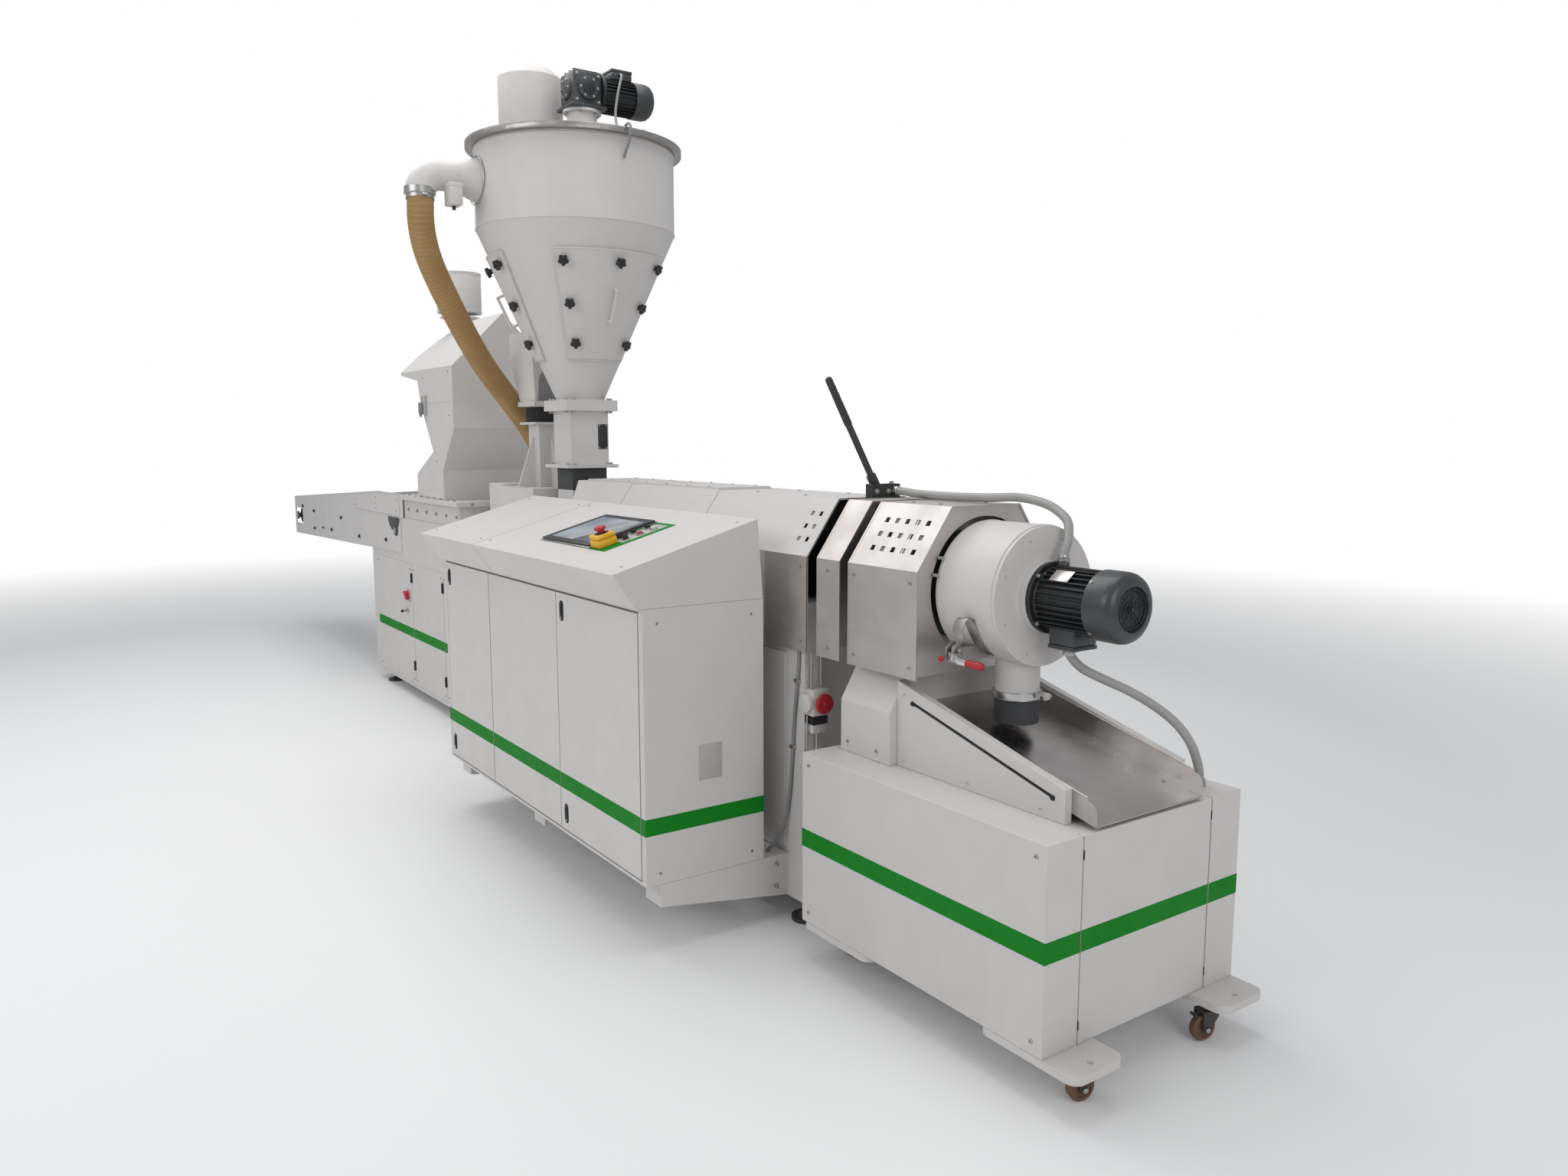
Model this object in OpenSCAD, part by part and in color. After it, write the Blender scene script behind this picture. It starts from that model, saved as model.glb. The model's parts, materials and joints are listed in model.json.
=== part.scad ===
// Plastic pelletizing machine: feed hopper, shredder, screw line, face cutter and chute trolley.
// Lengths along the line are measured back from the trolley's end face, widths from the screw axis.

/* [Line] */
// Height of the screw axis over the floor
axis_h = 1209; // [1190:1:1230]
// Thickness of folded sheet metal covers
sheet_t = 4; // [2:0.5:6]
// Gap between seated pieces
seat_gap = 0.3; // [0.2:0.1:0.6]

/* [Trolley] */
// Length of the trolley body
trolley_l = 1009; // [1000:1:1020]
// Width of the trolley body
trolley_w = 786; // [770:1:800]
// Drop from the screw axis to the trolley's top
trolley_drop = 531; // [525:1:539]
// Width of the removable end panel
end_panel_w = 520; // [400:5:600]
// Depth of the folded end panel
end_panel_d = 22; // [10:1:40]
// Open seam round loose panels
seam = 4; // [2:1:6]
// Reach of the stabiliser plates past the end face
plate_reach = 108; // [90:1:120]
// Width of a stabiliser plate
plate_w = 190; // [160:5:220]
// Length of a stabiliser plate
plate_l = 330; // [290:5:400]
// Thickness of a stabiliser plate
plate_t = 22; // [16:1:26]
// Radius of the plates' corners
plate_r = 35; // [15:1:45]
// Diameter of the anchor hole in a plate
plate_hole_d = 18; // [10:1:24]

/* [Casters] */
// Diameter of a caster wheel
wheel_d = 75; // [70:1:80]
// Width of a caster wheel
wheel_w = 24; // [18:1:28]
// Diameter of the wheel axle
axle_d = 8; // [6:1:12]
// Distance between swivel axis and wheel axle
trail = 28; // [22:1:32]
// Thickness of the fork's legs
fork_t = 4; // [3:0.5:5]
// Free space between the wheel and each leg
fork_clear = 5; // [5:0.5:8]
// Free space between the wheel and the fork's crown
crown_clear = 9; // [7:1:11]
// Thickness of the fork's swivel disc
disc_t = 12.7; // [10:0.1:15]
// Diameter of the swivel race
race_d = 50; // [40:1:60]
// Height of the fixed race under the plate
race_h = 9; // [7:1:12]
// Diameter of the swivel pin
kingpin_d = 12; // [8:1:16]
// Radial clearance of axle and swivel pin
pin_clear = 0.06; // [0.02:0.01:0.1]
// Front casters back from the end face
caster_front = -35; // [-45:5:0]
// Rear casters in from the trolley's far end
caster_rear_in = 109; // [89:1:149]
// Casters out from the middle
caster_side = 252; // [240:1:290]
// Rest angle of the front casters
caster_turn = 75; // [-90:5:90]

/* [Chute] */
// Width of the chute tray
tray_w = 436; // [400:1:440]
// Thickness of the tray sheet
tray_t = 3; // [2:0.5:5]
// Height of the tray's walls
tray_wall_h = 64; // [40:1:80]
// Slope of the tray in degrees
tray_slope = 13; // [11:0.5:13.5]
// Height of the tray's lip over the trolley top
tray_lip_h = 9; // [6:1:15]
// Thickness of the folded chute cheeks
cheek_t = 26; // [10:1:26]
// Height of a cheek at its low end
cheek_low_h = 92; // [80:1:110]
// Height of a cheek at its high end
cheek_high_h = 260; // [240:1:262]
// Low end of the cheeks back from the end face
cheek_end = 80; // [70:1:120]
// Width of the slot in a cheek
slot_w = 10; // [6:1:14]
// Length of the drive cover along the line
drive_l = 235; // [200:1:240]
// Height of the drive cover
drive_h = 264; // [250:1:270]
// Drop of the drive cover's bevel
drive_bevel_h = 102; // [80:1:120]
// Depth of the drive cover's bevel
drive_bevel_d = 60; // [40:1:80]

/* [Cutter] */
// Diameter of the cutter drum
drum_d = 405; // [395:1:412]
// Length of the cutter drum
drum_l = 218; // [210:1:225]
// Wall of the cutter drum
drum_t = 8; // [4:1:12]
// Front of the drum cover back from the end face
drum_front = 388; // [380:1:395]
// Thickness of the drum cover
drum_cover_t = 12; // [8:1:20]
// Diameter of the outlet spout
spout_d = 129; // [110:1:140]
// Wall of the outlet spout
spout_t = 5; // [3:0.5:8]
// Drop from the screw axis to the white spout's end
spout_drop = 294; // [284:1:304]
// Width of the steel clamp ring
clamp_ring_w = 22; // [16:1:30]
// Drop from the screw axis to the rubber outlet pipe's end
outlet_drop = 377; // [364:1:381]
// Wall of the rubber outlet pipe
outlet_t = 6; // [4:0.5:10]
// Diameter of the motor frame over its fins
motor_d = 188; // [170:1:196]
// Diameter of the motor's smooth fan cover
fan_cover_d = 194; // [180:1:200]
// Length of the fan cover
fan_cover_l = 96; // [80:1:110]
// Length of the whole motor
motor_l = 306; // [290:1:320]
// Number of fins on the motor
fin_count = 28; // [16:1:36]
// Thickness of a fin
fin_t = 4; // [3:0.5:6]
// Depth of a fin
fin_d = 16; // [10:1:22]

/* [Toggle clamp] */
// Reach of the handle's pivot past the drum's side
pivot_out = 12.5; // [11.5:0.5:17.5]
// Rise of the handle's pivot over the drum's underside
pivot_up = 29.5; // [19.5:0.5:38.5]
// Handle's pivot behind the drum cover's front
pivot_in = 132; // [122:1:142]
// Length of the handle
handle_l = 122; // [100:1:130]
// Diameter of the red grip
grip_d = 24; // [18:1:28]
// Length of the red grip
grip_l = 66; // [50:1:75]

/* [Guards] */
// Half width of the guards below the fold
guard_half = 270; // [265:1:275]
// Half width of the flat top of the guards
guard_top_half = 140; // [130:1:160]
// Height of the fold over the screw axis
fold_h = 64; // [50:1:80]
// Height of the flat top over the screw axis
guard_top_h = 246; // [240:1:252]
// Depth of the guards' sides below the screw axis
guard_skirt_h = 253; // [245:1:258]
// Length of the die guard
die_guard_l = 319; // [310:1:325]
// Length of the middle guard
middle_guard_l = 119; // [110:1:130]
// Open gap between guard segments
guard_gap = 42; // [36:1:50]
// Gap between the barrel hood and the hopper's axis
hood_gap = 266; // [266:1:316]
// Side of a square vent hole
vent_hole = 18; // [12:1:22]
// Distance between vent holes along the line
vent_pitch = 46; // [36:1:48]
// Distance between rows of vent holes
vent_row = 50; // [40:1:56]
// Diameter of the screw barrel
barrel_d = 190; // [160:1:210]
// Diameter of the die head
die_d = 330; // [280:1:360]
// Length of the lever over its pivot block
lever_l = 410; // [380:5:430]
// Diameter of the lever
lever_d = 22; // [16:1:26]
// Lean of the lever in degrees
lever_lean = 30; // [20:1:40]

/* [Control cabinet] */
// Right end of the cabinet back from the end face
cab_end = 1290; // [1280:1:1300]
// Length of the cabinet
cab_l = 1862; // [1850:1:1870]
// Door face in front of the screw axis
cab_face = 800; // [790:1:805]
// Depth of the cabinet
cab_d = 450; // [440:1:460]
// Bottom of the cabinet over the floor
cab_bottom = 231; // [225:1:236]
// Top of the cabinet shell over the floor
cab_top = 1127; // [1115:1:1140]
// Thickness of a door leaf
door_t = 20; // [16:1:24]
// Gap round the door leaves
door_gap = 6; // [5:0.5:8]
// Stop flange behind the doors
stop_w = 14; // [10:1:18]
// Right post of the door frame
post_right = 28; // [22:1:40]
// Left post of the door frame
post_left = 22; // [20:1:40]
// Sill and head of the door frame
sill_h = 10; // [8:1:16]
// Width of the left door
door_left_w = 508; // [490:1:515]
// Width of the middle door
door_middle_w = 663; // [650:1:670]
// Length of a latch's recessed cup
latch_l = 70; // [50:1:90]
// Depth of a latch's recessed cup
latch_d = 6; // [3:1:10]
// Height of the console's front edge over the floor
console_tip_h = 1242; // [1230:1:1250]
// Reach of the console in front of the doors
console_reach = 100; // [90:1:110]
// Height of the console's back edge over the floor
console_back_h = 1391; // [1380:1:1400]
// Set-back of the console's fascia at its foot
fascia_in = 20; // [10:1:40]
// Width of the operator panel
panel_w = 390; // [360:1:400]
// Depth of the operator panel
panel_d = 272; // [250:1:285]
// Thickness of the operator panel
panel_t = 12; // [8:1:20]
// Left end of the operator panel back from the end face
panel_end = 2132; // [2100:1:2160]
// Front of the operator panel up the slope from the edge
panel_up = 143; // [120:1:150]
// Side of the emergency stop box
stop_box = 72; // [60:1:80]
// Height of the emergency stop box
stop_box_h = 44; // [36:1:60]
// Diameter of the emergency stop button
stop_button_d = 42; // [36:1:50]

/* [Base] */
// Half width of the main frame
frame_half = 253; // [245:1:256]
// Width of a frame beam
beam_w = 100; // [80:1:120]
// Underside of the frame over the floor
beam_bottom = 81; // [75:1:90]
// Right end of the frame back from the end face
frame_end = 1190; // [1180:1:1200]
// Front height of the tapered outriggers
outrigger_tip_h = 75; // [60:1:90]
// Width of an outrigger along the line
outrigger_w = 100; // [60:1:110]
// Diameter of a levelling foot
foot_d = 110; // [80:1:120]
// Diameter of a levelling stem
stem_d = 24; // [16:1:30]
// Width of the post under the barrel
post_w = 90; // [70:1:95]
// Length of the shredder base
shred_l = 1832; // [1800:1:1860]
// Right end of the shredder base behind the hopper's axis
shred_back = 968; // [948:1:988]
// Half width of the shredder base
shred_half = 300; // [290:1:310]
// Underside of the shredder base over the floor
shred_bottom = 70; // [60:1:75]
// Top of the shredder base over the floor
shred_top = 1150; // [1140:1:1160]
// Radius of the shredder base's lower corner
shred_r = 90; // [60:1:120]
// Thickness of the screwed base panels
base_panel_t = 6; // [4:1:8]

/* [Shredder] */
// Height of the rotor housing
rotor_h = 120; // [110:1:125]
// Thickness of the deck flange
deck_t = 30; // [20:1:36]
// Length of the shredder deck
deck_l = 1060; // [1040:1:1065]
// Half width of the shredder hood
shood_half = 300; // [290:1:305]
// Shredder hood in from the base's right end
shood_in = 32; // [25:1:40]
// Rise of the hood's eaves over the deck
eaves_rise = 750; // [730:1:770]
// Rise of the hood's ridge over the deck
ridge_rise = 1050; // [1030:1:1055]
// Length of the hood with its canopy
canopy_l = 950; // [928:1:968]
// Rise of the canopy's tip over the deck
canopy_rise = 760; // [740:1:780]
// Depth of the infeed mouth
mouth_d = 330; // [200:5:350]
// Width of the infeed mouth
mouth_w = 440; // [380:5:480]
// Diameter of the vent can
can_d = 260; // [240:1:280]
// Height of the vent can
can_h = 240; // [200:5:250]
// Vent can behind the hood's right face
can_in = 700; // [678:1:718]

/* [Conveyor] */
// Length of the conveyor past the deck
conv_l = 3142; // [3040:1:3240]
// Drop from the shredder base's top to the conveyor's far underside
conv_far_drop = 300; // [290:1:310]
// Rise of the conveyor's far end over the shredder base
conv_far_rise = 10; // [0:1:20]
// Drop from the shredder base's top to the conveyor's near underside
conv_near_drop = 224; // [215:1:235]
// Rise of the conveyor's near end over the shredder base
conv_near_rise = 150; // [140:1:150]
// Thickness of the conveyor's side plates
conv_t = 6; // [4:1:8]
// Diameter of a conveyor roller
roller_d = 110; // [90:1:120]
// Thickness of the conveyor belt
belt_t = 5; // [3:0.5:8]
// Gap between belt and side plates
belt_gap = 20; // [12:1:40]

/* [Feed hopper] */
// Hopper axis back from the end face
hopper_back = 3432; // [3420:1:3445]
// Diameter of the hopper bowl
bowl_d = 945; // [920:1:960]
// Wall of the hopper bowl
bowl_t = 4; // [3:0.5:8]
// Height of the bowl over its cone
bowl_h = 370; // [350:1:380]
// Height of the cone
cone_h = 794; // [774:1:814]
// Rise of the cone's foot over the screw axis
cone_foot_rise = 627; // [621:1:636]
// Outer diameter of the cone's foot
cone_foot_d = 230; // [215:1:240]
// Reach of the steel rim ring past the bowl
rim_reach = 37.5; // [30:0.5:42.5]
// Height of the steel rim ring
rim_ring_h = 26; // [20:1:32]
// Side of the throat flanges
flange_w = 270; // [260:1:280]
// Thickness of a throat flange
flange_t = 26; // [18:1:30]
// Side of the throat duct
duct_w = 200; // [180:1:210]
// Wall of the throat duct
duct_t = 5; // [3:0.5:8]
// Rise of the throat duct's foot over the screw axis
duct_foot_rise = 299; // [291:1:311]
// Diameter of the filter can
filter_d = 310; // [290:1:320]
// Height of the filter can over the lid
filter_h = 400; // [380:1:410]
// Bevel round the filter can's top
filter_bevel = 40; // [20:1:60]
// Diameter of the agitator's pedestal
pedestal_d = 140; // [120:1:150]
// Height of the agitator's pedestal
pedestal_h = 165; // [150:1:180]
// Side of the agitator's gearbox
gear_w = 150; // [140:1:160]
// Diameter of the agitator's motor
agitator_motor_d = 170; // [150:1:176]
// Length of the agitator's motor
agitator_motor_l = 250; // [200:1:260]
// Diameter of the suction hose
hose_d = 120; // [110:1:130]
// Drop from the bowl's rim to the hose port
port_drop = 165; // [150:5:180]

/* [Hidden] */
$fn = 96;

white = [0.80, 0.80, 0.78];
steel = [0.60, 0.58, 0.56];
dark = [0.20, 0.21, 0.22];
black = [0.05, 0.05, 0.05];
red = [0.72, 0.12, 0.18];
tan = [0.60, 0.45, 0.25];

// Heights and distances that follow from the settings
trolley_top = axis_h - trolley_drop;
caster_rear = trolley_l - caster_rear_in;
spout_end_h = axis_h - spout_drop;
outlet_end_h = axis_h - outlet_drop;
pivot_side = drum_d / 2 + pivot_out;
pivot_h = axis_h - drum_d / 2 + pivot_up;
pivot_back = drum_front + pivot_in;
cone_foot_h = axis_h + cone_foot_rise;
cone_top_h = cone_foot_h + cone_h;
rim_h = cone_top_h + bowl_h;
rim_d = bowl_d + 2 * rim_reach;
duct_foot_h = axis_h + duct_foot_rise;
port_h = rim_h - port_drop;
shred_right = hopper_back + shred_back;
shred_left = shred_right + shred_l;
deck_left = shred_right + deck_l;
deck_z = shred_top + rotor_h + deck_t;
shood_right = shred_right + shood_in;
eaves_h = deck_z + eaves_rise;
ridge_h = deck_z + ridge_rise;
canopy_tip = shood_right + canopy_l;
canopy_h = deck_z + canopy_rise;
can_back = shood_right + can_in;
conv_far = deck_left + conv_l;
conv_far_low = shred_top - conv_far_drop;
conv_far_high = shred_top + conv_far_rise;
conv_near_low = shred_top - conv_near_drop;
conv_near_high = shred_top + conv_near_rise;

line_x = (conv_far - plate_reach) / 2;
console_front = cab_face + console_reach;
line_y = (console_front - rim_d / 2) / 2;
side = [-1, 1];

// Stands the line in its own frame, centred over the floor
module on_line() {
    translate([line_x, line_y, 0]) children();
}

// A box from its two corners
module box(low, high) {
    translate(low) cube(high - low);
}

// A cylinder along the line between two distances
module along(from, to, d) {
    translate([from, 0, axis_h]) rotate([0, 90, 0]) cylinder(h = to - from, d = d);
}

// A profile of length and height, spread across the line
module across(from, to) {
    translate([0, to, 0]) rotate([90, 0, 0]) linear_extrude(to - from) children();
}

// A profile of width and height, drawn along the line
module drawn(from, to) {
    translate([from, 0, 0]) rotate([90, 0, 90]) linear_extrude(to - from) children();
}

plate_top = wheel_d + crown_clear + disc_t + seat_gap + race_h + plate_t;
trolley_bottom = plate_top;
tray_low = trolley_top + tray_lip_h;
drive_in = 42;
drive_front = -(trolley_l - drive_in - drive_l);
drive_back = drive_front - drive_l;

// TROLLEY
module trolley_body() {
    half = trolley_w / 2;
    on_line() color(white) difference() {
        box([-trolley_l, -half, trolley_bottom], [0, half, trolley_top]);
        box([-end_panel_d - seat_gap, -end_panel_w / 2 - seam, trolley_bottom - 1],
            [1, end_panel_w / 2 + seam, trolley_top + 1]);
    }
}

module trolley_end_panel() {
    half = end_panel_w / 2;
    on_line() color(white) box([-end_panel_d, -half, trolley_bottom], [0, half, trolley_top]);
}

// Rounded plates under the body that carry the caster races
module stabiliser_plate(back) {
    outer = trolley_w / 2;
    translate([0, 0, plate_top - plate_t]) linear_extrude(plate_t) difference() {
        translate([-back - plate_l / 2, outer - plate_w / 2]) plate_outline();
        translate([-back - plate_r, outer - plate_w / 2]) circle(d = plate_hole_d);
    }
}

module plate_outline() {
    x = plate_l / 2 - plate_r;
    y = plate_w / 2 - plate_r;
    square([plate_l - 2 * plate_r, plate_w], center = true);
    square([plate_l, plate_w - 2 * plate_r], center = true);
    for (i = side, j = side) translate([i * x, j * y]) circle(plate_r);
}

module caster_race(back) {
    z0 = plate_top - plate_t - race_h;
    translate([-back, caster_side, z0]) difference() {
        cylinder(h = race_h, d = race_d);
        translate([0, 0, -1]) cylinder(h = race_h, d = kingpin_d + 2 * pin_clear);
    }
}

module stabiliser_plates() {
    rear = trolley_l - plate_l;
    on_line() color(white) for (s = side) on_side(s) {
        stabiliser_plate(-plate_reach);
        caster_race(caster_front);
        stabiliser_plate(rear);
        caster_race(caster_rear);
    }
}

// Repeats a piece on the near side (-1) or the far side (1)
module on_side(s) {
    if (s < 0) mirror([0, 1, 0]) children();
    else children();
}

axle_h = wheel_d / 2;
crown_h = wheel_d + crown_clear;
fork_half = wheel_w / 2 + fork_clear;
fork_top = plate_top - plate_t - race_h - seat_gap;

module at_caster(back, s, turn) {
    on_line() translate([-back, s * caster_side, 0]) rotate([0, 0, turn]) children();
}

// Fork with its swivel disc, pin and axle; the wheel trails towards -X at zero turn
module caster_fork() {
    leg_w = 34;
    color(black) union() {
        translate([0, 0, crown_h]) cylinder(h = fork_top - crown_h, d = race_d);
        translate([0, 0, fork_top]) cylinder(h = race_h - 2, d = kingpin_d);
        for (s = side) fork_leg(s, leg_w);
        translate([-trail, fork_half + fork_t + 2, axle_h]) rotate([90, 0, 0])
            cylinder(h = 2 * (fork_half + fork_t + 2), d = axle_d);
    }
}

module fork_leg(s, leg_w) {
    y = s < 0 ? -fork_half - fork_t : fork_half;
    r = leg_w / 2 - 4;
    across(y, y + fork_t) {
        polygon([
            [-trail - r, axle_h], [-trail + r, axle_h],
            [race_d / 2 - 4, crown_h + 4], [-trail - r, crown_h + 4]
        ]);
        translate([-trail, axle_h]) circle(r);
    }
}

module fork_crown() {
    color(black) translate([-trail - 13, -fork_half, crown_h])
        cube([trail + 13 + race_d / 2 - 8, 2 * fork_half, 4]);
}

module caster_wheel() {
    color(tan) translate([-trail, 0, axle_h]) rotate([90, 0, 0]) translate([0, 0, -wheel_w / 2])
        rotate_extrude() difference() {
            polygon([
                [axle_d / 2 + pin_clear, 0], [wheel_d / 2 - 4, 0], [wheel_d / 2, 4],
                [wheel_d / 2, wheel_w - 4], [wheel_d / 2 - 4, wheel_w], [axle_d / 2 + pin_clear, wheel_w]
            ]);
            for (y = [-1, wheel_w - 3]) translate([axle_d / 2 + 7, y]) square([15, 4]);
        }
}

module caster_fork_front_near() { at_caster(caster_front, -1, caster_turn) { caster_fork(); fork_crown(); } }
module caster_fork_front_far() { at_caster(caster_front, 1, caster_turn) { caster_fork(); fork_crown(); } }
module caster_fork_rear_near() { at_caster(caster_rear, -1, 0) { caster_fork(); fork_crown(); } }
module caster_fork_rear_far() { at_caster(caster_rear, 1, 0) { caster_fork(); fork_crown(); } }
module caster_wheel_front_near() { at_caster(caster_front, -1, caster_turn) caster_wheel(); }
module caster_wheel_front_far() { at_caster(caster_front, 1, caster_turn) caster_wheel(); }
module caster_wheel_rear_near() { at_caster(caster_rear, -1, 0) caster_wheel(); }
module caster_wheel_rear_far() { at_caster(caster_rear, 1, 0) caster_wheel(); }

// CHUTE
tray_x0 = drive_front + seat_gap;
tray_l = -2 - tray_x0;
function tray_floor(x) = tray_low + tray_t + (-2 - x) * tan(tray_slope);

// Wall of the tray seen from the side, its front corner rounded
module tray_side() {
    r = 28;
    h = tray_wall_h;
    rise = tray_l * tan(tray_slope);
    difference() {
        polygon([
            [tray_x0, tray_low + rise], [-2, tray_low], [-2, tray_low + tray_t],
            [-2, tray_low + h], [tray_x0, tray_low + rise + h]
        ]);
        translate([-2 - r, tray_low + h - r]) difference() {
            square(r + 20);
            circle(r);
        }
    }
}

module chute_tray() {
    half = tray_w / 2;
    rise = tray_l * tan(tray_slope);
    on_line() color(steel) {
        across(-half, half) polygon([
            [tray_x0, tray_low + rise], [-2, tray_low],
            [-2, tray_low + tray_t], [tray_x0, tray_low + rise + tray_t]
        ]);
        for (y = [-half, half - tray_t]) across(y, y + tray_t) tray_side();
    }
}

module chute_cheeks() {
    inner = tray_w / 2 + seat_gap;
    top = cheek_high_h - cheek_low_h;
    length = -drive_front - cheek_end;
    angle = atan(top / length);
    on_line() color(white) for (s = side) on_side(s) difference() {
        across(inner, inner + cheek_t) polygon([
            [drive_front + seat_gap, trolley_top], [-cheek_end, trolley_top],
            [-cheek_end, trolley_top + cheek_low_h], [drive_front + seat_gap, trolley_top + cheek_high_h]
        ]);
        translate([-cheek_end - 35, inner + cheek_t - 8, trolley_top + cheek_low_h - 32])
            rotate([0, angle, 0]) translate([-length + 80, 0, -slot_w / 2])
                cube([length - 80, 20, slot_w]);
    }
}

module chute_drive_cover() {
    half = tray_w / 2 + cheek_t + 30;
    top = trolley_top + drive_h;
    low = top - drive_bevel_h;
    on_line() color(white) drawn(drive_back, drive_front) polygon([
        [-half, trolley_top], [half, trolley_top], [half, low],
        [half - drive_bevel_d, top], [-half + drive_bevel_d, top], [-half, low]
    ]);
}

// CUTTER
drum_face = -drum_front - drum_cover_t;
drum_rear = drum_face - drum_l;
spout_x = drum_face - drum_l * 0.38;

module spout_bore(extra) {
    translate([spout_x, 0, 0]) cylinder(h = axis_h, d = spout_d - 2 * spout_t + extra);
}

// Shell of the cutting chamber with its back wall and spout
module cutter_drum() {
    on_line() color(white) difference() {
        union() {
            along(drum_rear, drum_face, drum_d);
            translate([spout_x, 0, spout_end_h]) cylinder(h = axis_h - spout_end_h, d = spout_d);
        }
        along(drum_rear + 2 * drum_t, drum_face + 1, drum_d - 2 * drum_t);
        translate([0, 0, 1]) spout_bore(0);
    }
}

module drum_cover() {
    boss = 20;
    on_line() color(white) union() {
        along(drum_face, drum_face + drum_cover_t, drum_d - 6);
        along(drum_face + drum_cover_t, drum_face + drum_cover_t + boss, motor_d + 20);
    }
}

motor_x0 = drum_face + drum_cover_t + 20;
gland_x = motor_x0 + 23;
gland_y = 24;
gland_rise = motor_d / 2 + 7;
motor_box_drop = motor_d / 2 + 38;

module cutter_motor() {
    core = motor_d - 2 * fin_d;
    fins_end = motor_x0 + motor_l - 20 - fan_cover_l;
    on_line() color(dark) union() {
        along(motor_x0, motor_x0 + 14, motor_d + 14);
        along(motor_x0 + 14, fins_end + 10, core);
        for (i = [0 : fin_count - 1]) translate([motor_x0 + 10, 0, axis_h])
            rotate([i * 360 / fin_count, 0, 0]) translate([0, -fin_t / 2, 0])
                cube([fins_end - motor_x0 - 10, fin_t, motor_d / 2]);
        along(fins_end, fins_end + fan_cover_l - 24, fan_cover_d);
        translate([fins_end + fan_cover_l - 24, 0, axis_h]) rotate([0, 90, 0])
            cylinder(h = 24, d1 = fan_cover_d, d2 = fan_cover_d - 44);
        translate([gland_x, gland_y, axis_h + 40])
            cylinder(h = gland_rise - seat_gap - 40, d = conduit_d + 9);
        box([motor_x0 + 40, -48, axis_h - motor_box_drop], [motor_x0 + 130, 48, axis_h - core / 2 + 2]);
    }
}

module outlet_clamp() {
    ring_d = spout_d + 12;
    z0 = spout_end_h - clamp_ring_w / 2;
    on_line() color(steel) difference() {
        union() {
            translate([spout_x, 0, z0]) cylinder(h = clamp_ring_w, d = ring_d);
            box([spout_x + spout_d / 2 - 4, 12, z0 + 2], [spout_x + ring_d / 2 + 22, 38, z0 + clamp_ring_w - 2]);
        }
        translate([spout_x, 0, z0 - 1]) cylinder(h = clamp_ring_w + 2, d = spout_d + 2 * seat_gap);
    }
}

module outlet_pipe() {
    on_line() color(dark) translate([spout_x, 0, outlet_end_h]) difference() {
        cylinder(h = spout_end_h - outlet_end_h, d = spout_d);
        translate([0, 0, -1]) cylinder(h = spout_end_h, d = spout_d - 2 * outlet_t);
    }
}

// TOGGLE CLAMP
pivot_x = -pivot_back;
pin_d = 8;
lug_t = 5;

module at_pivot() {
    translate([pivot_x, -pivot_side, pivot_h]) rotate([90, 0, 0]) children();
}

module toggle_bracket() {
    top = pivot_h + 30;
    on_line() color(steel) difference() {
        union() {
            box([pivot_x - 45, -pivot_side + 12, pivot_h - 8], [pivot_x + 15, -90, top]);
            box([pivot_x - 22, -pivot_side - 8, pivot_h - 14], [pivot_x + 14, -pivot_side + 12, pivot_h + 14]);
        }
        along(drum_rear - 1, drum_face + 1, drum_d + 2 * seat_gap);
        translate([pivot_x - 30, -pivot_side - 20, pivot_h - 20]) cube([60, 14, 60]);
        translate([pivot_x, -pivot_side + 20, pivot_h]) rotate([90, 0, 0])
            cylinder(h = 40, d = pin_d + 2 * pin_clear);
    }
}

// Flat arm with its grip; it lies along the line when the drum is clamped
module toggle_handle() {
    arm_l = handle_l - grip_l;
    drop = 12;
    on_line() {
        color(steel) at_pivot() union() {
            translate([0, 0, 6 + seat_gap]) cylinder(h = lug_t, d = 26);
            translate([0, 0, -12]) cylinder(h = 18 + seat_gap + lug_t, d = pin_d);
            translate([0, -10 - drop / 2, 6 + seat_gap]) cube([arm_l + 4, 18, lug_t]);
        }
        color(red) translate([pivot_x + arm_l, -pivot_side - 6 - seat_gap - lug_t / 2, pivot_h - drop / 2])
            rotate([0, 90, 0]) union() {
                cylinder(h = grip_l - grip_d / 2, d = grip_d);
                translate([0, 0, grip_l - grip_d / 2]) sphere(d = grip_d);
            }
    }
}

// CONDUITS AND HOSE
// Unit vector, ring frame and tube along chosen points
function unit(v) = v / norm(v);
function direction(p, i) = unit(p[min(i + 1, len(p) - 1)] - p[max(i - 1, 0)]);
function side_of(t) = unit(cross(t, abs(t[2]) > 0.9 ? [1, 0, 0] : [0, 0, 1]));
function carried(p, i) =
    i == 0 ? side_of(direction(p, 0))
    : let (t = direction(p, i), s = carried(p, i - 1)) unit(s - (s * t) * t);
function ring(c, t, s, r, n) = [for (k = [0 : n - 1])
    c + r * (cos(360 * k / n) * s + sin(360 * k / n) * cross(t, s))];
module tube(p, d, n) {
    m = len(p);
    points = [for (i = [0 : m - 1]) each ring(p[i], direction(p, i), carried(p, i), d / 2, n)];
    walls = [for (i = [0 : m - 2], k = [0 : n - 1])
        [i * n + k, (i + 1) * n + k, (i + 1) * n + (k + 1) % n, i * n + (k + 1) % n]];
    polyhedron(points, concat([[for (k = [0 : n - 1]) k]], walls, [[for (k = [n - 1 : -1 : 0]) (m - 1) * n + k]]));
}

// Bends of a cord between its two ends, each axis stretched to fit; they are measured from the last end
function laid(from, to, bends) = let (k = from - to, b = bends[0])
    [for (p = bends) to + [p[0] * k[0] / b[0], p[1] * k[1] / b[1], p[2] * k[2] / b[2]]];

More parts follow.
